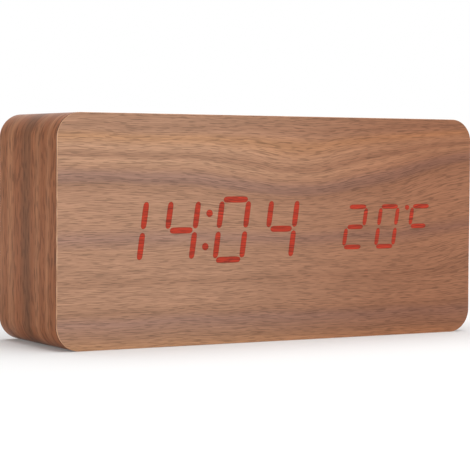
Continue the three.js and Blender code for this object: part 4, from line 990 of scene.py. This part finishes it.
class CLOCK_OT_ring(Operator):
    """Adds the ring of board that is wrapped in walnut foil"""

    bl_idname = "clock.ring"
    bl_label = "Wrapped ring"

    def execute(self, context):
        sizes = context.scene.clock_case
        low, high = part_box("case_band")
        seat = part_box("back_panel")[0].y
        ring = plate("ring", low, high, sizes.corner, sizes.corner_steps)
        wall = Vector((sizes.wall, -PAST, sizes.wall))
        cavity = plate("cavity", low + wall, high - wall, sizes.cavity_corner, sizes.corner_steps)
        step = Vector((sizes.rebate, -PAST, sizes.rebate))
        step_low = (low.x + sizes.rebate, seat, low.z + sizes.rebate)
        rebate = plate("rebate", step_low, high - step, sizes.corner - sizes.rebate, sizes.corner_steps)
        carve(ring, [cavity, rebate])
        pilots = []
        for node in PANEL_SCREWS:
            screw_low, screw_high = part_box(node)
            start = screw_low.y - sizes.pilot_spare
            pilots.append(rod("pilot", sizes.pilot_radius, start, screw_high.y, centre_of(node), 24))
        carve(ring, pilots)

        def depth(point):
            return outline_depth(point, low, high, sizes.corner)

        def at_back(a, b):
            return min(a.y, b.y) > high.y - NEAR and max(depth(a), depth(b)) < sizes.rebate / 2

        def at_front(a, b):
            return max(a.y, b.y) < low.y + NEAR and max(depth(a), depth(b)) < sizes.rebate / 2

        round_edges(ring, at_back, sizes.back_edge, 3)
        round_edges(ring, at_front, sizes.foil_joint, 2)
        smooth(ring)
        recipes = (walnut_foil, raw_fibreboard, glue_and_painted_joint_shade, walnut_back_board)
        dress(ring, "wrapped_ring", CASE, recipes, "case_band")
        joint = low.y + sizes.foil_joint
        inner = sizes.rebate + NEAR
        paint(ring, 1, lambda at, normal: at.y < seat + NEAR and depth(at) > inner)
        # The front bevel at the joint gets the dark joint line, partly painted shade.
        paint(ring, 2, lambda at, normal: at.y < joint and normal.y < -0.2 and depth(at) < inner)
        paint(ring, 3, lambda at, normal: at.y > high.y - NEAR and normal.y > 0.9)
        return {"FINISHED"}


def in_front(centre, normal):
    """Whether a face lies in the clock's front face."""
    return normal.y < -0.99 and centre.y < FRONT + NEAR


def lit_bars(figure, sizes):
    """A figure's bars, from its light guides. Their outlines have only a few steps in the frame, so their
    corners are rounded, and each bar is widened all round, as its light spreads sideways in the wood."""
    percent = 32
    bars = copied(f"{figure}_light", "bars")
    pick(bars, "EDGE", lambda a, b: along_y(a, b) and min(a.y, b.y) < FRONT + NEAR)
    bpy.ops.mesh.bevel(offset_type="PERCENT", offset_pct=percent, segments=3, profile=0.5, affect="EDGES")
    leave_edit()
    pick(bars, "FACE", lambda centre, normal: abs(normal.y) < 0.5)
    bpy.ops.transform.shrink_fatten(value=sizes.bar_spread, use_even_offset=True)
    leave_edit()
    return bars


class CLOCK_OT_veneer(Operator):
    """Adds the front veneer, with a window for each lit bar"""

    bl_idname = "clock.veneer"
    bl_label = "Front veneer"

    def execute(self, context):
        sizes = context.scene.clock_case
        low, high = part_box("front_veneer")
        veneer = plate("veneer", low, high, sizes.corner, sizes.corner_steps)
        round_edges(veneer, lambda a, b: max(a.y, b.y) < low.y + NEAR, sizes.front_edge, 3)
        round_edges(veneer, lambda a, b: min(a.y, b.y) > high.y - NEAR, sizes.veneer_joint, 2)
        windows = []
        for figure in FIGURES:
            window = lit_bars(figure, sizes)
            pick(window, "FACE", in_front)
            bpy.ops.transform.translate(value=(0, -PAST, 0))
            leave_edit()
            windows.append(window)
        carve(veneer, windows)
        smooth(veneer)
        recipes = (walnut_veneer, veneer_edge_painted_highlight, glue_and_painted_joint_shade)
        dress(veneer, "veneer_face", CASE, recipes, "front_veneer")

        def on_outline(at, normal):
            return abs(normal.y) < 0.8 and outline_depth(at, low, high, sizes.corner) < sizes.rebate / 2

        # The edge faces round the outline get the pale cut edge, partly a painted highlight.
        paint(veneer, 1, on_outline)
        # The back bevel at the joint gets the dark joint line, partly painted shade.
        paint(veneer, 2, lambda at, normal: normal.y > 0.2 and at.y < high.y - NEAR)
        return {"FINISHED"}


class CLOCK_OT_figures(Operator):
    """Adds the lit bars of the figures"""

    bl_idname = "clock.figures"
    bl_label = "Lit figures"

    def execute(self, context):
        sizes = context.scene.clock_case
        for figure in FIGURES:
            bars = lit_bars(figure, sizes)
            pick(bars, "FACE", in_front)
            bpy.ops.mesh.inset(thickness=sizes.bar_rim, use_individual=True)
            leave_edit()
            self.note_glow(bars.data)
            smooth(bars)
            recipes = (walnut_veneer, light_guide_acrylic)
            dress(bars, f"{figure}_bars", CASE, recipes, f"{figure}_light")
            paint(bars, 1, lambda at, normal: at.y > FRONT + NEAR)
        return {"FINISHED"}

    def note_glow(self, mesh):
        """Notes how much light shows at each point: less at a bar's rim than in the faces just inset."""
        inner = {i for face in mesh.polygons if face.select for i in face.vertices}
        glow = mesh.attributes.new("glow", "FLOAT", "POINT")
        glow.data.foreach_set("value", [1.0 if i in inner else RIM_GLOW for i in range(len(mesh.vertices))])


class CLOCK_OT_back_board(Operator):
    """Adds the back panel, with its two windows and a countersunk hole for each screw"""

    bl_idname = "clock.back_board"
    bl_label = "Back panel"

    def execute(self, context):
        case = context.scene.clock_case
        low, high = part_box("back_panel")
        panel = plate("panel", low, high, case.corner - case.rebate - case.panel_gap)
        cutters = []
        windows = (
            ("control_plate", context.scene.clock_controls),
            ("battery_box", context.scene.clock_battery),
        )
        for node, sizes in windows:
            node_low, node_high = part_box(node)
            inset = Vector((sizes.rim - case.window_gap, -PAST, sizes.rim - case.window_gap))
            window_low = Vector((node_low.x, low.y, node_low.z)) + inset
            window_high = Vector((node_high.x, high.y, node_high.z)) - inset
            cutters.append(plate("window", window_low, window_high, sizes.corner))
        for node in PANEL_SCREWS:
            head_low, head_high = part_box(node)
            head = (head_high.x - head_low.x) / 2
            hole = head * 0.6
            seat = head + case.screw_gap
            profile = (
                (hole, low.y - PAST),
                (hole, high.y - head + hole),
                (seat, high.y - case.seat_lip),
                (seat, high.y + PAST),
            )
            cutters.append(turned("seat", profile, centre_of(node)))
        carve(panel, cutters)
        soften(panel, case.panel_edge)
        dress(panel, "back_board", CASE, [walnut_back_board], "back_panel")
        return {"FINISHED"}


class CLOCK_OT_panel_screws(Operator):
    """Adds the countersunk screws of the back panel: one is modelled and the rest are copies"""

    bl_idname = "clock.panel_screws"
    bl_label = "Panel screws"

    def execute(self, context):
        sizes = context.scene.clock_case
        low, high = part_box(PANEL_SCREWS[0])
        centre = (low + high) / 2
        head = (high.x - low.x) / 2
        crest = head * 0.5
        root = crest * 0.75
        neck = high.y - head + crest
        edge = sizes.screw_edge
        profile = [(crest * 0.25, low.y), (root, low.y + sizes.screw_pitch)]
        while profile[-1][1] + sizes.screw_pitch < neck:
            start = profile[-1][1]
            profile.append((crest, start + sizes.screw_pitch * 0.35))
            profile.append((root, start + sizes.screw_pitch * 0.7))
        profile += [(crest * 0.8, neck), (head * 0.97, high.y - 2 * edge), (head, high.y - edge)]
        profile += [(head * 0.94, high.y - edge / 6), (head * 0.5, high.y)]
        screw = turned("screw", profile, centre)
        carve(screw, self.cross(Vector((centre.x, high.y, centre.z)), head))
        soften(screw, sizes.thread_edge, 1, 40)
        screws = [screw] + [cloned(screw, "screw", centre_of(node) - centre) for node in PANEL_SCREWS[1:]]
        for index, (node, piece) in enumerate(zip(PANEL_SCREWS, screws), 1):
            dress(piece, f"panel_screw_{index}", CASE, [black_zinc_plate], node)
        return {"FINISHED"}

    def cross(self, top, head):
        """The two arms of a cross recess, each narrower at its bottom."""
        arm, half, deep, taper = head * 0.66, head * 0.16, head * 0.5, 0.45
        arms = []
        for x, z in ((arm, half), (half, arm)):
            reach = Vector((x, deep, z))
            tool = block("arm", top - reach, top + reach)
            pick(tool, "FACE", lambda centre, normal: normal.y < -0.9)
            bpy.ops.transform.resize(value=(taper, 1, taper), center_override=top)
            leave_edit()
            arms.append(tool)
        return arms


# Controls


def plug_back(sizes):
    """The depth at which the control plate's plug ends, inside the case."""
    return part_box("control_plate")[1].y - sizes.rim_depth - sizes.plug_depth


class CLOCK_OT_control_plate(Operator):
    """Adds the control plate: a thin rim, a plug in the panel's window, and two screw bosses behind"""

    bl_idname = "clock.control_plate"
    bl_label = "Control plate"

    def execute(self, context):
        sizes = context.scene.clock_controls
        low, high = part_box("control_plate")
        back = plug_back(sizes)
        inset = Vector((sizes.rim, 0, sizes.rim))
        body = plate("plate", (low.x, high.y - sizes.rim_depth, low.z), high, sizes.corner)
        plug_low = Vector((low.x, back, low.z)) + inset
        plug_high = Vector((high.x, high.y - sizes.rim_depth / 2, high.z)) - inset
        joined = [plate("plug", plug_low, plug_high, sizes.corner)]
        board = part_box("control_board")[1].y
        for node in CONTROL_SCREWS:
            end = back + sizes.plug_depth / 2
            joined.append(rod("boss", sizes.boss_radius, board, end, centre_of(node), 32))
        carve(body, joined, "UNION")
        carve(body, self.openings(sizes, back - PAST, high.y + PAST))
        ends = (board - PAST, board + sizes.pilot_depth)
        pilots = [rod("pilot", sizes.pilot_radius, *ends, centre_of(node), 24) for node in CONTROL_SCREWS]
        carve(body, pilots)
        soften(body, sizes.edge)
        dress(body, "controls_face", CASE, [dark_abs], "control_plate")
        return {"FINISHED"}

    def openings(self, sizes, start, end):
        """The holes for the buttons, the power inlet and the sound, and the slot for the lever."""
        gap = sizes.clearance
        cutters = [rod("hole", sizes.button_radius + gap, start, end, centre_of(node)) for node in BUTTONS]
        cutters.append(rod("hole", sizes.nose_radius + gap, start, end, centre_of("power_jack")))
        for hole in range(sizes.hole_count + 1):
            ring = sizes.hole_ring if hole < sizes.hole_count else 0
            angle = 2 * math.pi * hole / sizes.hole_count
            centre = centre_of("buzzer") + ring * Vector((math.cos(angle), 0, math.sin(angle)))
            cutters.append(rod("hole", sizes.hole_radius, start, end, centre, 24))
        lever = centre_of("sound_lever")
        middle = lever.x + sizes.lever_travel / 2
        slot_low = (middle - sizes.slot_reach, start, lever.z - sizes.slot_breadth)
        slot_high = (middle + sizes.slot_reach, end, lever.z + sizes.slot_breadth)
        cutters.append(block("slot", slot_low, slot_high))
        return cutters


class CLOCK_OT_buttons(Operator):
    """Adds the buttons: one cap is modelled and copied, and each gets its own mark"""

    bl_idname = "clock.buttons"
    bl_label = "Buttons"

    def execute(self, context):
        sizes = context.scene.clock_controls
        low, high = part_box(BUTTONS[0])
        centre = (low + high) / 2
        top = high.y - sizes.mark_height
        cap = turned("cap", self.profile(sizes, low.y, top, (high.x - low.x) / 2), centre, sides=64)
        caps = [cap] + [cloned(cap, "cap", centre_of(node) - centre) for node in BUTTONS[1:]]
        for node, piece in zip(BUTTONS, caps):
            carve(piece, [self.mark(node, sizes, top - sizes.button_edge, high.y)], "UNION")
            soften(piece, sizes.mark_edge, 2, 55)
            dress(piece, f"{node}_cap", node, [brown_abs, cream_acetal], node)
            paint(piece, 1, lambda at, normal: at.y > top + sizes.mark_height / 4)
        return {"FINISHED"}

    def profile(self, sizes, foot, top, collar):
        """A stem, the collar that keeps the button in, and a cap with a rounded edge and a shallow dish."""
        radius, edge = sizes.button_radius, sizes.button_edge
        stem, dish = sizes.stem_radius, sizes.dish_depth
        shoulder = plug_back(sizes) - sizes.clearance
        under = shoulder - sizes.collar_depth
        bevel = sizes.collar_edge
        return (
            (stem * 0.85, foot),
            (stem, foot + 2 * bevel),
            (stem, under),
            (collar - bevel, under),
            (collar, under + bevel),
            (collar, shoulder - bevel),
            (collar - bevel, shoulder),
            (radius, shoulder),
            (radius, top - edge),
            (radius * 0.98, top - edge / 2),
            (radius * 0.93, top - edge / 8),
            (radius * 0.86, top),
            (radius * 0.8, top - dish / 8),
            (radius * 0.6, top - dish * 5 / 8),
            (radius * 0.3, top - dish),
        )

    def mark(self, node, sizes, start, end):
        """A button's raised mark: a dot on the set button, and a triangle on the others."""
        centre = centre_of(node)
        if node == "set_button":
            return rod("mark", sizes.mark_size / 2, start, end, centre, 32)
        mark = rod("mark", sizes.mark_size, start, end, centre, 3, 1 if node == "up_button" else -1)
        round_edges(mark, along_y, sizes.mark_corner, 3)
        return mark


class CLOCK_OT_sound_lever(Operator):
    """Adds the sound lever: a foot in the switch, and a stem with grooves for a fingernail"""

    bl_idname = "clock.sound_lever"
    bl_label = "Sound lever"

    def execute(self, context):
        sizes = context.scene.clock_controls
        low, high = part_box("sound_lever")
        centre = (low + high) / 2
        half = sizes.lever_half
        lever = block("lever", low, (high.x, low.y + sizes.lever_foot, high.z))
        stem_low = (centre.x - half, low.y + sizes.lever_foot / 2, centre.z - half)
        carve(lever, [block("stem", stem_low, (centre.x + half, high.y, centre.z + half))], "UNION")
        grooves = []
        for x in (centre.x - half * 0.55, centre.x, centre.x + half * 0.55):
            groove_low = (x - sizes.groove_half, high.y - sizes.groove_depth, centre.z - 2 * half)
            groove_high = (x + sizes.groove_half, high.y + PAST, centre.z + 2 * half)
            grooves.append(block("groove", groove_low, groove_high))
        carve(lever, grooves)
        soften(lever, sizes.lever_edge)
        dress(lever, "sound_lever_tip", "sound_lever", [cream_acetal], "sound_lever")
        return {"FINISHED"}


class CLOCK_OT_power_inlet(Operator):
    """Adds the power inlet: a square body, a round nose with a flared bore, and a nickel pin"""

    bl_idname = "clock.power_inlet"
    bl_label = "Power inlet"

    def execute(self, context):
        sizes = context.scene.clock_controls
        low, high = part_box("power_jack")
        centre = (low + high) / 2
        front = plug_back(sizes)
        body = block("inlet", low, (high.x, front, high.z))
        carve(body, [rod("nose", sizes.nose_radius, (low.y + front) / 2, high.y, centre, 64)], "UNION")
        back = low.y + sizes.inlet_wall
        mouth = sizes.bore_radius + sizes.mouth
        bore = (
            (sizes.bore_radius, back),
            (sizes.bore_radius, high.y - sizes.mouth_depth),
            (mouth, high.y - sizes.mouth_depth / 5),
            (mouth, high.y + PAST),
        )
        carve(body, [turned("bore", bore, centre)])
        top = high.y - sizes.pin_recess
        pin = (
            (sizes.pin_radius, back - sizes.inlet_wall * 0.4),
            (sizes.pin_radius, top - sizes.pin_tip),
            (sizes.pin_radius * 0.8, top - sizes.pin_tip * 0.3),
            (sizes.pin_radius * 0.4, top),
        )
        carve(body, [turned("pin", pin, centre, sides=32)], "UNION")
        soften(body, sizes.inlet_edge)
        dress(body, "power_inlet", CASE, [chip_epoxy, nickel_plate], "power_jack")
        reach = sizes.pin_radius * 1.03
        foot = back + sizes.pin_tip / 2

        def on_pin(at, normal):
            return math.hypot(at.x - centre.x, at.z - centre.z) < reach and at.y > foot

        paint(body, 1, on_pin)
        return {"FINISHED"}


# Battery box


def battery_bay(sizes):
    """The two corners of the bay inside the battery box."""
    low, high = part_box("battery_box")
    inset = Vector((sizes.rim + sizes.wall, 0, sizes.rim + sizes.wall))
    return low + inset + Vector((0, sizes.floor, 0)), high - inset


def hook_places(sizes):
    """The middle of each of the door's hooks, along X."""
    middle = centre_of("battery_box").x
    return middle - sizes.hook_spread, middle + sizes.hook_spread


class CLOCK_OT_battery_tray(Operator):
    """Adds the battery tray, with a rim on the panel, a step for the door, and ribs between the cells"""

    bl_idname = "clock.battery_tray"
    bl_label = "Battery tray"

    def execute(self, context):
        sizes = context.scene.clock_battery
        low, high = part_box("battery_box")
        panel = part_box("back_panel")[1].y
        inset = Vector((sizes.rim, 0, sizes.rim))
        tray = plate("tray", (low.x, panel, low.z), high, sizes.corner + sizes.rim)
        shell_high = Vector((high.x, (panel + high.y) / 2, high.z)) - inset
        carve(tray, [plate("shell", low + inset, shell_high, sizes.corner)], "UNION")
        carve(tray, self.openings(sizes, high.y))
        carve(tray, self.ribs(sizes), "UNION")
        soften(tray, sizes.edge)
        dress(tray, "battery_tray", CASE, [dark_abs], "battery_box")
        return {"FINISHED"}

    def openings(self, sizes, top):
        """The bay, the door's seat, the fingertip notch and the slots for the door's hooks."""
        bay_low, bay_high = battery_bay(sizes)
        past = Vector((0, PAST, 0))
        step = Vector((sizes.ledge, 0, sizes.ledge))
        ledge = top - sizes.door_depth - sizes.door_seat
        seat_low = Vector((bay_low.x, ledge, bay_low.z)) - step
        tools = [block("bay", bay_low, bay_high + past), block("seat", seat_low, bay_high + step + past)]
        notch = centre_of("battery_box")
        notch.z = bay_high.z + sizes.ledge + sizes.notch_reach - sizes.notch_radius
        bottom = top - sizes.notch_depth
        tools.append(rod("notch", sizes.notch_radius, bottom, top + PAST, notch, 64))
        half = sizes.hook_width / 2 + sizes.hook_gap
        slot_top = ledge - sizes.slot_wall
        for x in hook_places(sizes):
            slot_low = (x - half, slot_top - sizes.slot_height, bay_low.z - sizes.wall - PAST)
            tools.append(block("slot", slot_low, (x + half, slot_top, bay_low.z + PAST)))
        return tools

    def ribs(self, sizes):
        """Low ribs on the floor between the cells."""
        bay_low, bay_high = battery_bay(sizes)
        middle = (bay_low.x + bay_high.x) / 2
        quarter = (bay_high.x - bay_low.x) / 4
        start = bay_low.y - sizes.floor / 2
        end = bay_low.y + sizes.rib_height
        half = sizes.rib_width / 2
        ribs = []
        for cell, next_cell in zip(CELLS, CELLS[1:]):
            z = (centre_of(cell).z + centre_of(next_cell).z) / 2
            rib_low = (middle - quarter, start, z - half)
            ribs.append(block("rib", rib_low, (middle + quarter, end, z + half)))
        return ribs


class CLOCK_OT_battery_door(Operator):
    """Adds the battery door: a leaf with a latch tongue between two slits, grip ribs, and hooks below"""

    bl_idname = "clock.battery_door"
    bl_label = "Battery door"

    def execute(self, context):
        sizes = context.scene.clock_battery
        bay_low, bay_high = battery_bay(sizes)
        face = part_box("battery_box")[1].y
        inner = face - sizes.door_depth
        reach = sizes.ledge - sizes.door_gap
        leaf_low = Vector((bay_low.x - reach, inner, bay_low.z - reach))
        leaf_high = Vector((bay_high.x + reach, face, bay_high.z + reach))
        leaf = plate("leaf", leaf_low, leaf_high, sizes.door_corner, 4)
        carve(leaf, self.slits(sizes, leaf_low, leaf_high))
        carve(leaf, self.hooks(sizes, inner, bay_low.z) + self.latch(sizes, inner, bay_high.z), "UNION")
        soften(leaf, sizes.door_edge)
        dress(leaf, "door_leaf", "battery_door", [dark_abs], "battery_door")
        return {"FINISHED"}

    def slits(self, sizes, low, high):
        """A slit on each side of the latch tongue, with a round end."""
        half = sizes.tongue_slit / 2
        middle = (low.x + high.x) / 2
        bottom = high.z - sizes.tongue_length
        slits = []
        for side in (-1, 1):
            x = middle + side * (sizes.tongue_width / 2 + half)
            slit = block("slit", (x - half, low.y - PAST, bottom), (x + half, high.y + PAST, high.z + PAST))
            round_edges(slit, lambda a, b: along_y(a, b) and max(a.z, b.z) < bottom + NEAR, half * 0.98, 6)
            slits.append(slit)
        return slits

    def hooks(self, sizes, inner, bay_bottom):
        """A leg and a toe for each hook, which reach through the slots of the tray."""
        half = sizes.hook_width / 2
        deep = inner - sizes.hook_depth
        into_leaf = inner + sizes.door_depth / 2
        leg = bay_bottom + sizes.hook_gap
        into_leg = leg + sizes.hook_leg / 2
        hooks = []
        for x in hook_places(sizes):
            hooks.append(block("leg", (x - half, deep, leg), (x + half, into_leaf, leg + sizes.hook_leg)))
            toe_low = (x - half, deep, bay_bottom - sizes.hook_toe)
            hooks.append(block("toe", toe_low, (x + half, deep + sizes.hook_toe, into_leg)))
        return hooks

    def latch(self, sizes, inner, bay_top):
        """The nub behind the tongue, and the grip ribs on it."""
        middle = centre_of("battery_box").x
        half = sizes.tongue_width / 3
        into_leaf = inner + sizes.door_depth / 2
        top = bay_top - sizes.nub_off
        nub_low = (middle - half, inner - sizes.nub_depth, top - sizes.nub_tall)
        latch = [block("nub", nub_low, (middle + half, into_leaf, top))]
        leaf_top = bay_top + sizes.ledge - sizes.door_gap
        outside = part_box("battery_door")[1].y
        for grip in (1, 2, 3):
            low = leaf_top - grip * sizes.grip_pitch - sizes.grip_width / 2
            high = low + sizes.grip_width
            latch.append(block("grip", (middle - half, into_leaf, low), (middle + half, outside, high)))
        return latch


class CLOCK_OT_cells(Operator):
    """Adds the cells: one is modelled and copied, and every second copy is turned about"""

    bl_idname = "clock.cells"
    bl_label = "Cells"

    def execute(self, context):
        sizes = context.scene.clock_battery
        low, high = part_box(CELLS[0])
        centre = (low + high) / 2
        radius = sizes.cell_radius
        model = turned("cell", self.profile(sizes, low.x, high.x), centre, axis=0, sides=64)
        smooth(model)
        for index, node in enumerate(CELLS):
            place = centre_of(node)
            piece = cloned(model, "cell", place - centre)
            if index % 2:
                # Half a turn about Z swaps the cell's ends.
                half_turn = Matrix.Rotation(math.pi, 4, "Z")
                piece.data.transform(Matrix.Translation(place) @ half_turn @ Matrix.Translation(-place))
            dress(piece, f"cell_{index + 1}", CASE, [cell_film, plated_steel], node)

            def on_can(at, normal):
                return math.hypot(at.y - place.y, at.z - place.z) < radius * 0.84

            paint(piece, 1, on_can)
        bpy.data.objects.remove(model)
        return {"FINISHED"}

    def profile(self, sizes, start, end):
        """A nub, a rolled edge on each end, and the sleeve between them."""
        radius, nub, roll = sizes.cell_radius, sizes.nub_radius, sizes.cell_roll
        shoulder = start + sizes.nub_height
        return (
            (nub * 0.8, start),
            (nub * 0.96, start + roll * 0.16),
            (nub, start + roll * 0.5),
            (nub, shoulder),
            (radius * 0.62, shoulder),
            (radius * 0.66, shoulder + roll * 0.24),
            (radius * 0.8, shoulder + roll * 0.24),
            (radius * 0.9, shoulder + roll * 0.04),
            (radius * 0.97, shoulder + roll * 0.3),
            (radius, shoulder + roll),
            (radius, end - roll),
            (radius * 0.97, end - roll * 0.3),
            (radius * 0.9, end - roll * 0.04),
            (radius * 0.8, end - roll * 0.2),
            (radius * 0.5, end),
        )


class CLOCK_OT_contacts(Operator):
    """Adds the contact plates on the ends of the bay, with a spring or a dimple for each cell's end"""

    bl_idname = "clock.contacts"
    bl_label = "Contacts"

    def execute(self, context):
        sizes = context.scene.clock_battery
        for index, node in enumerate(CONTACTS):
            low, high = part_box(node)
            # Contacts stand on the left and the right in turn, each with its front towards the cells.
            if index % 2:
                way, front = -1, high.x - sizes.contact_depth
                low.x = front
            else:
                way, front = 1, low.x + sizes.contact_depth
                high.x = front
            sheet = plate("sheet", low, high, sizes.contact_edge, 2)
            parts = []
            if index > 0:
                parts.append(self.spring(sizes, centre_of(CELLS[index - 1]), front, way))
            if index < len(CELLS):
                parts.append(self.dimple(sizes, centre_of(CELLS[index]), front, way))
            focus(sheet)
            for part in parts:
                part.select_set(True)
            bpy.ops.object.join()
            smooth(sheet)
            dress(sheet, f"{node}_plate", CASE, [nickel_plate], node)
        return {"FINISHED"}

    def spring(self, sizes, cell, front, way):
        """A conical spring whose wire starts on the plate."""
        steps = 20 * sizes.spring_turns
        start = sizes.contact_depth / 4
        rise = sizes.spring_length - sizes.wire_radius - start
        curve = bpy.data.curves.new("spring", "CURVE")
        curve.dimensions = "3D"
        curve.bevel_depth = sizes.wire_radius
        curve.bevel_resolution = 3
        curve.use_fill_caps = True
        line = curve.splines.new("POLY")
        line.points.add(steps)
        for step, point in enumerate(line.points):
            share = step / steps
            angle = share * sizes.spring_turns * 2 * math.pi
            radius = sizes.spring_base + (sizes.spring_tip - sizes.spring_base) * share
            y = cell.y + radius * math.cos(angle)
            z = cell.z + radius * math.sin(angle)
            point.co = (front + way * (start + share * rise), y, z, 1)
        focus(linked("spring", curve))
        bpy.ops.object.convert(target="MESH")
        return bpy.context.object

    def dimple(self, sizes, cell, front, way):
        """A pressed dimple that touches a cell's nub."""
        radius, height, depth = sizes.dimple_radius, sizes.dimple_height, sizes.contact_depth
        profile = (
            (radius, front - way * depth / 2),
            (radius, front + way * depth / 20),
            (radius * 0.8, front + way * height * 0.8),
            (radius * 0.5, front + way * height),
        )
        return turned("dimple", profile, cell, axis=0, sides=32)


# Inside


INSIDE = {
    raw_fibreboard: ("front_board",),
    mask_polystyrene: ("segment_mask",),
    solder_mask: ("display_board", "control_board"),
    plated_steel: (
        *DISPLAY_SCREWS,
        *CONTROL_SCREWS,
        "timing_crystal",
        "backup_cell",
        "microphone",
        "sound_switch",
    ),
    chip_epoxy: ("clock_chip", "driver_chip", "set_switch", "up_switch", "down_switch", "buzzer"),
    nickel_plate: ("backup_holder",),
    bead_epoxy_dip: ("thermistor",),
    cream_acetal: ("control_header", "display_header"),
    ribbon_pvc: ("ribbon_cable",),
    red_pvc: ("battery_lead_positive",),
    black_pvc: ("battery_lead_negative",),
}


class CLOCK_OT_insides(Operator):
    """Gives the parts that keep their CAD shape their materials"""

    bl_idname = "clock.insides"
    bl_label = "Parts inside"

    def execute(self, context):
        for recipe, nodes in INSIDE.items():
            for node in nodes:
                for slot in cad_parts[node].material_slots:
                    slot.material = look(recipe)
        for chip in ("clock_chip", "driver_chip"):
            self.legs(chip)
        return {"FINISHED"}

    def legs(self, node):
        """Gives a chip's legs, which stick out above and below its body, their metal."""
        leg = 1.3 * MM
        low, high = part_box(node)
        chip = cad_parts[node]
        chip.data.materials.append(look(plated_steel))
        last = len(chip.data.materials) - 1
        paint(chip, last, lambda at, normal: not low.z + leg < at.z < high.z - leg)


# Registration


GROUPS = {
    "clock_case": CaseSizes,
    "clock_controls": ControlSizes,
    "clock_battery": BatterySizes,
    "clock_colours": Colours,
}
OPERATORS = (
    CLOCK_OT_stage,
    CLOCK_OT_ring,
    CLOCK_OT_veneer,
    CLOCK_OT_figures,
    CLOCK_OT_back_board,
    CLOCK_OT_panel_screws,
    CLOCK_OT_control_plate,
    CLOCK_OT_buttons,
    CLOCK_OT_sound_lever,
    CLOCK_OT_power_inlet,
    CLOCK_OT_battery_tray,
    CLOCK_OT_battery_door,
    CLOCK_OT_cells,
    CLOCK_OT_contacts,
    CLOCK_OT_insides,
)


class CLOCK_PT_panel(Panel):
    """Lists the clock's pieces and settings"""

    bl_label = "Walnut block clock"
    bl_idname = "CLOCK_PT_panel"
    bl_space_type = "VIEW_3D"
    bl_region_type = "UI"
    bl_category = "Clock"

    def draw(self, context):
        for operator in OPERATORS:
            self.layout.operator(operator.bl_idname)
        for name, group in GROUPS.items():
            self.layout.label(text=group.__doc__)
            for setting in group.__annotations__:
                self.layout.prop(getattr(context.scene, name), setting)


CLASSES = (*GROUPS.values(), *OPERATORS, CLOCK_PT_panel)


def register():
    for item in CLASSES:
        bpy.utils.register_class(item)
    for name, group in GROUPS.items():
        setattr(bpy.types.Scene, name, PointerProperty(type=group))


def unregister():
    for name in GROUPS:
        delattr(bpy.types.Scene, name)
    for item in reversed(CLASSES):
        bpy.utils.unregister_class(item)


def main():
    register()
    for operator in OPERATORS:
        group, name = operator.bl_idname.split(".")
        getattr(getattr(bpy.ops, group), name)()


if __name__ == "__main__":
    main()
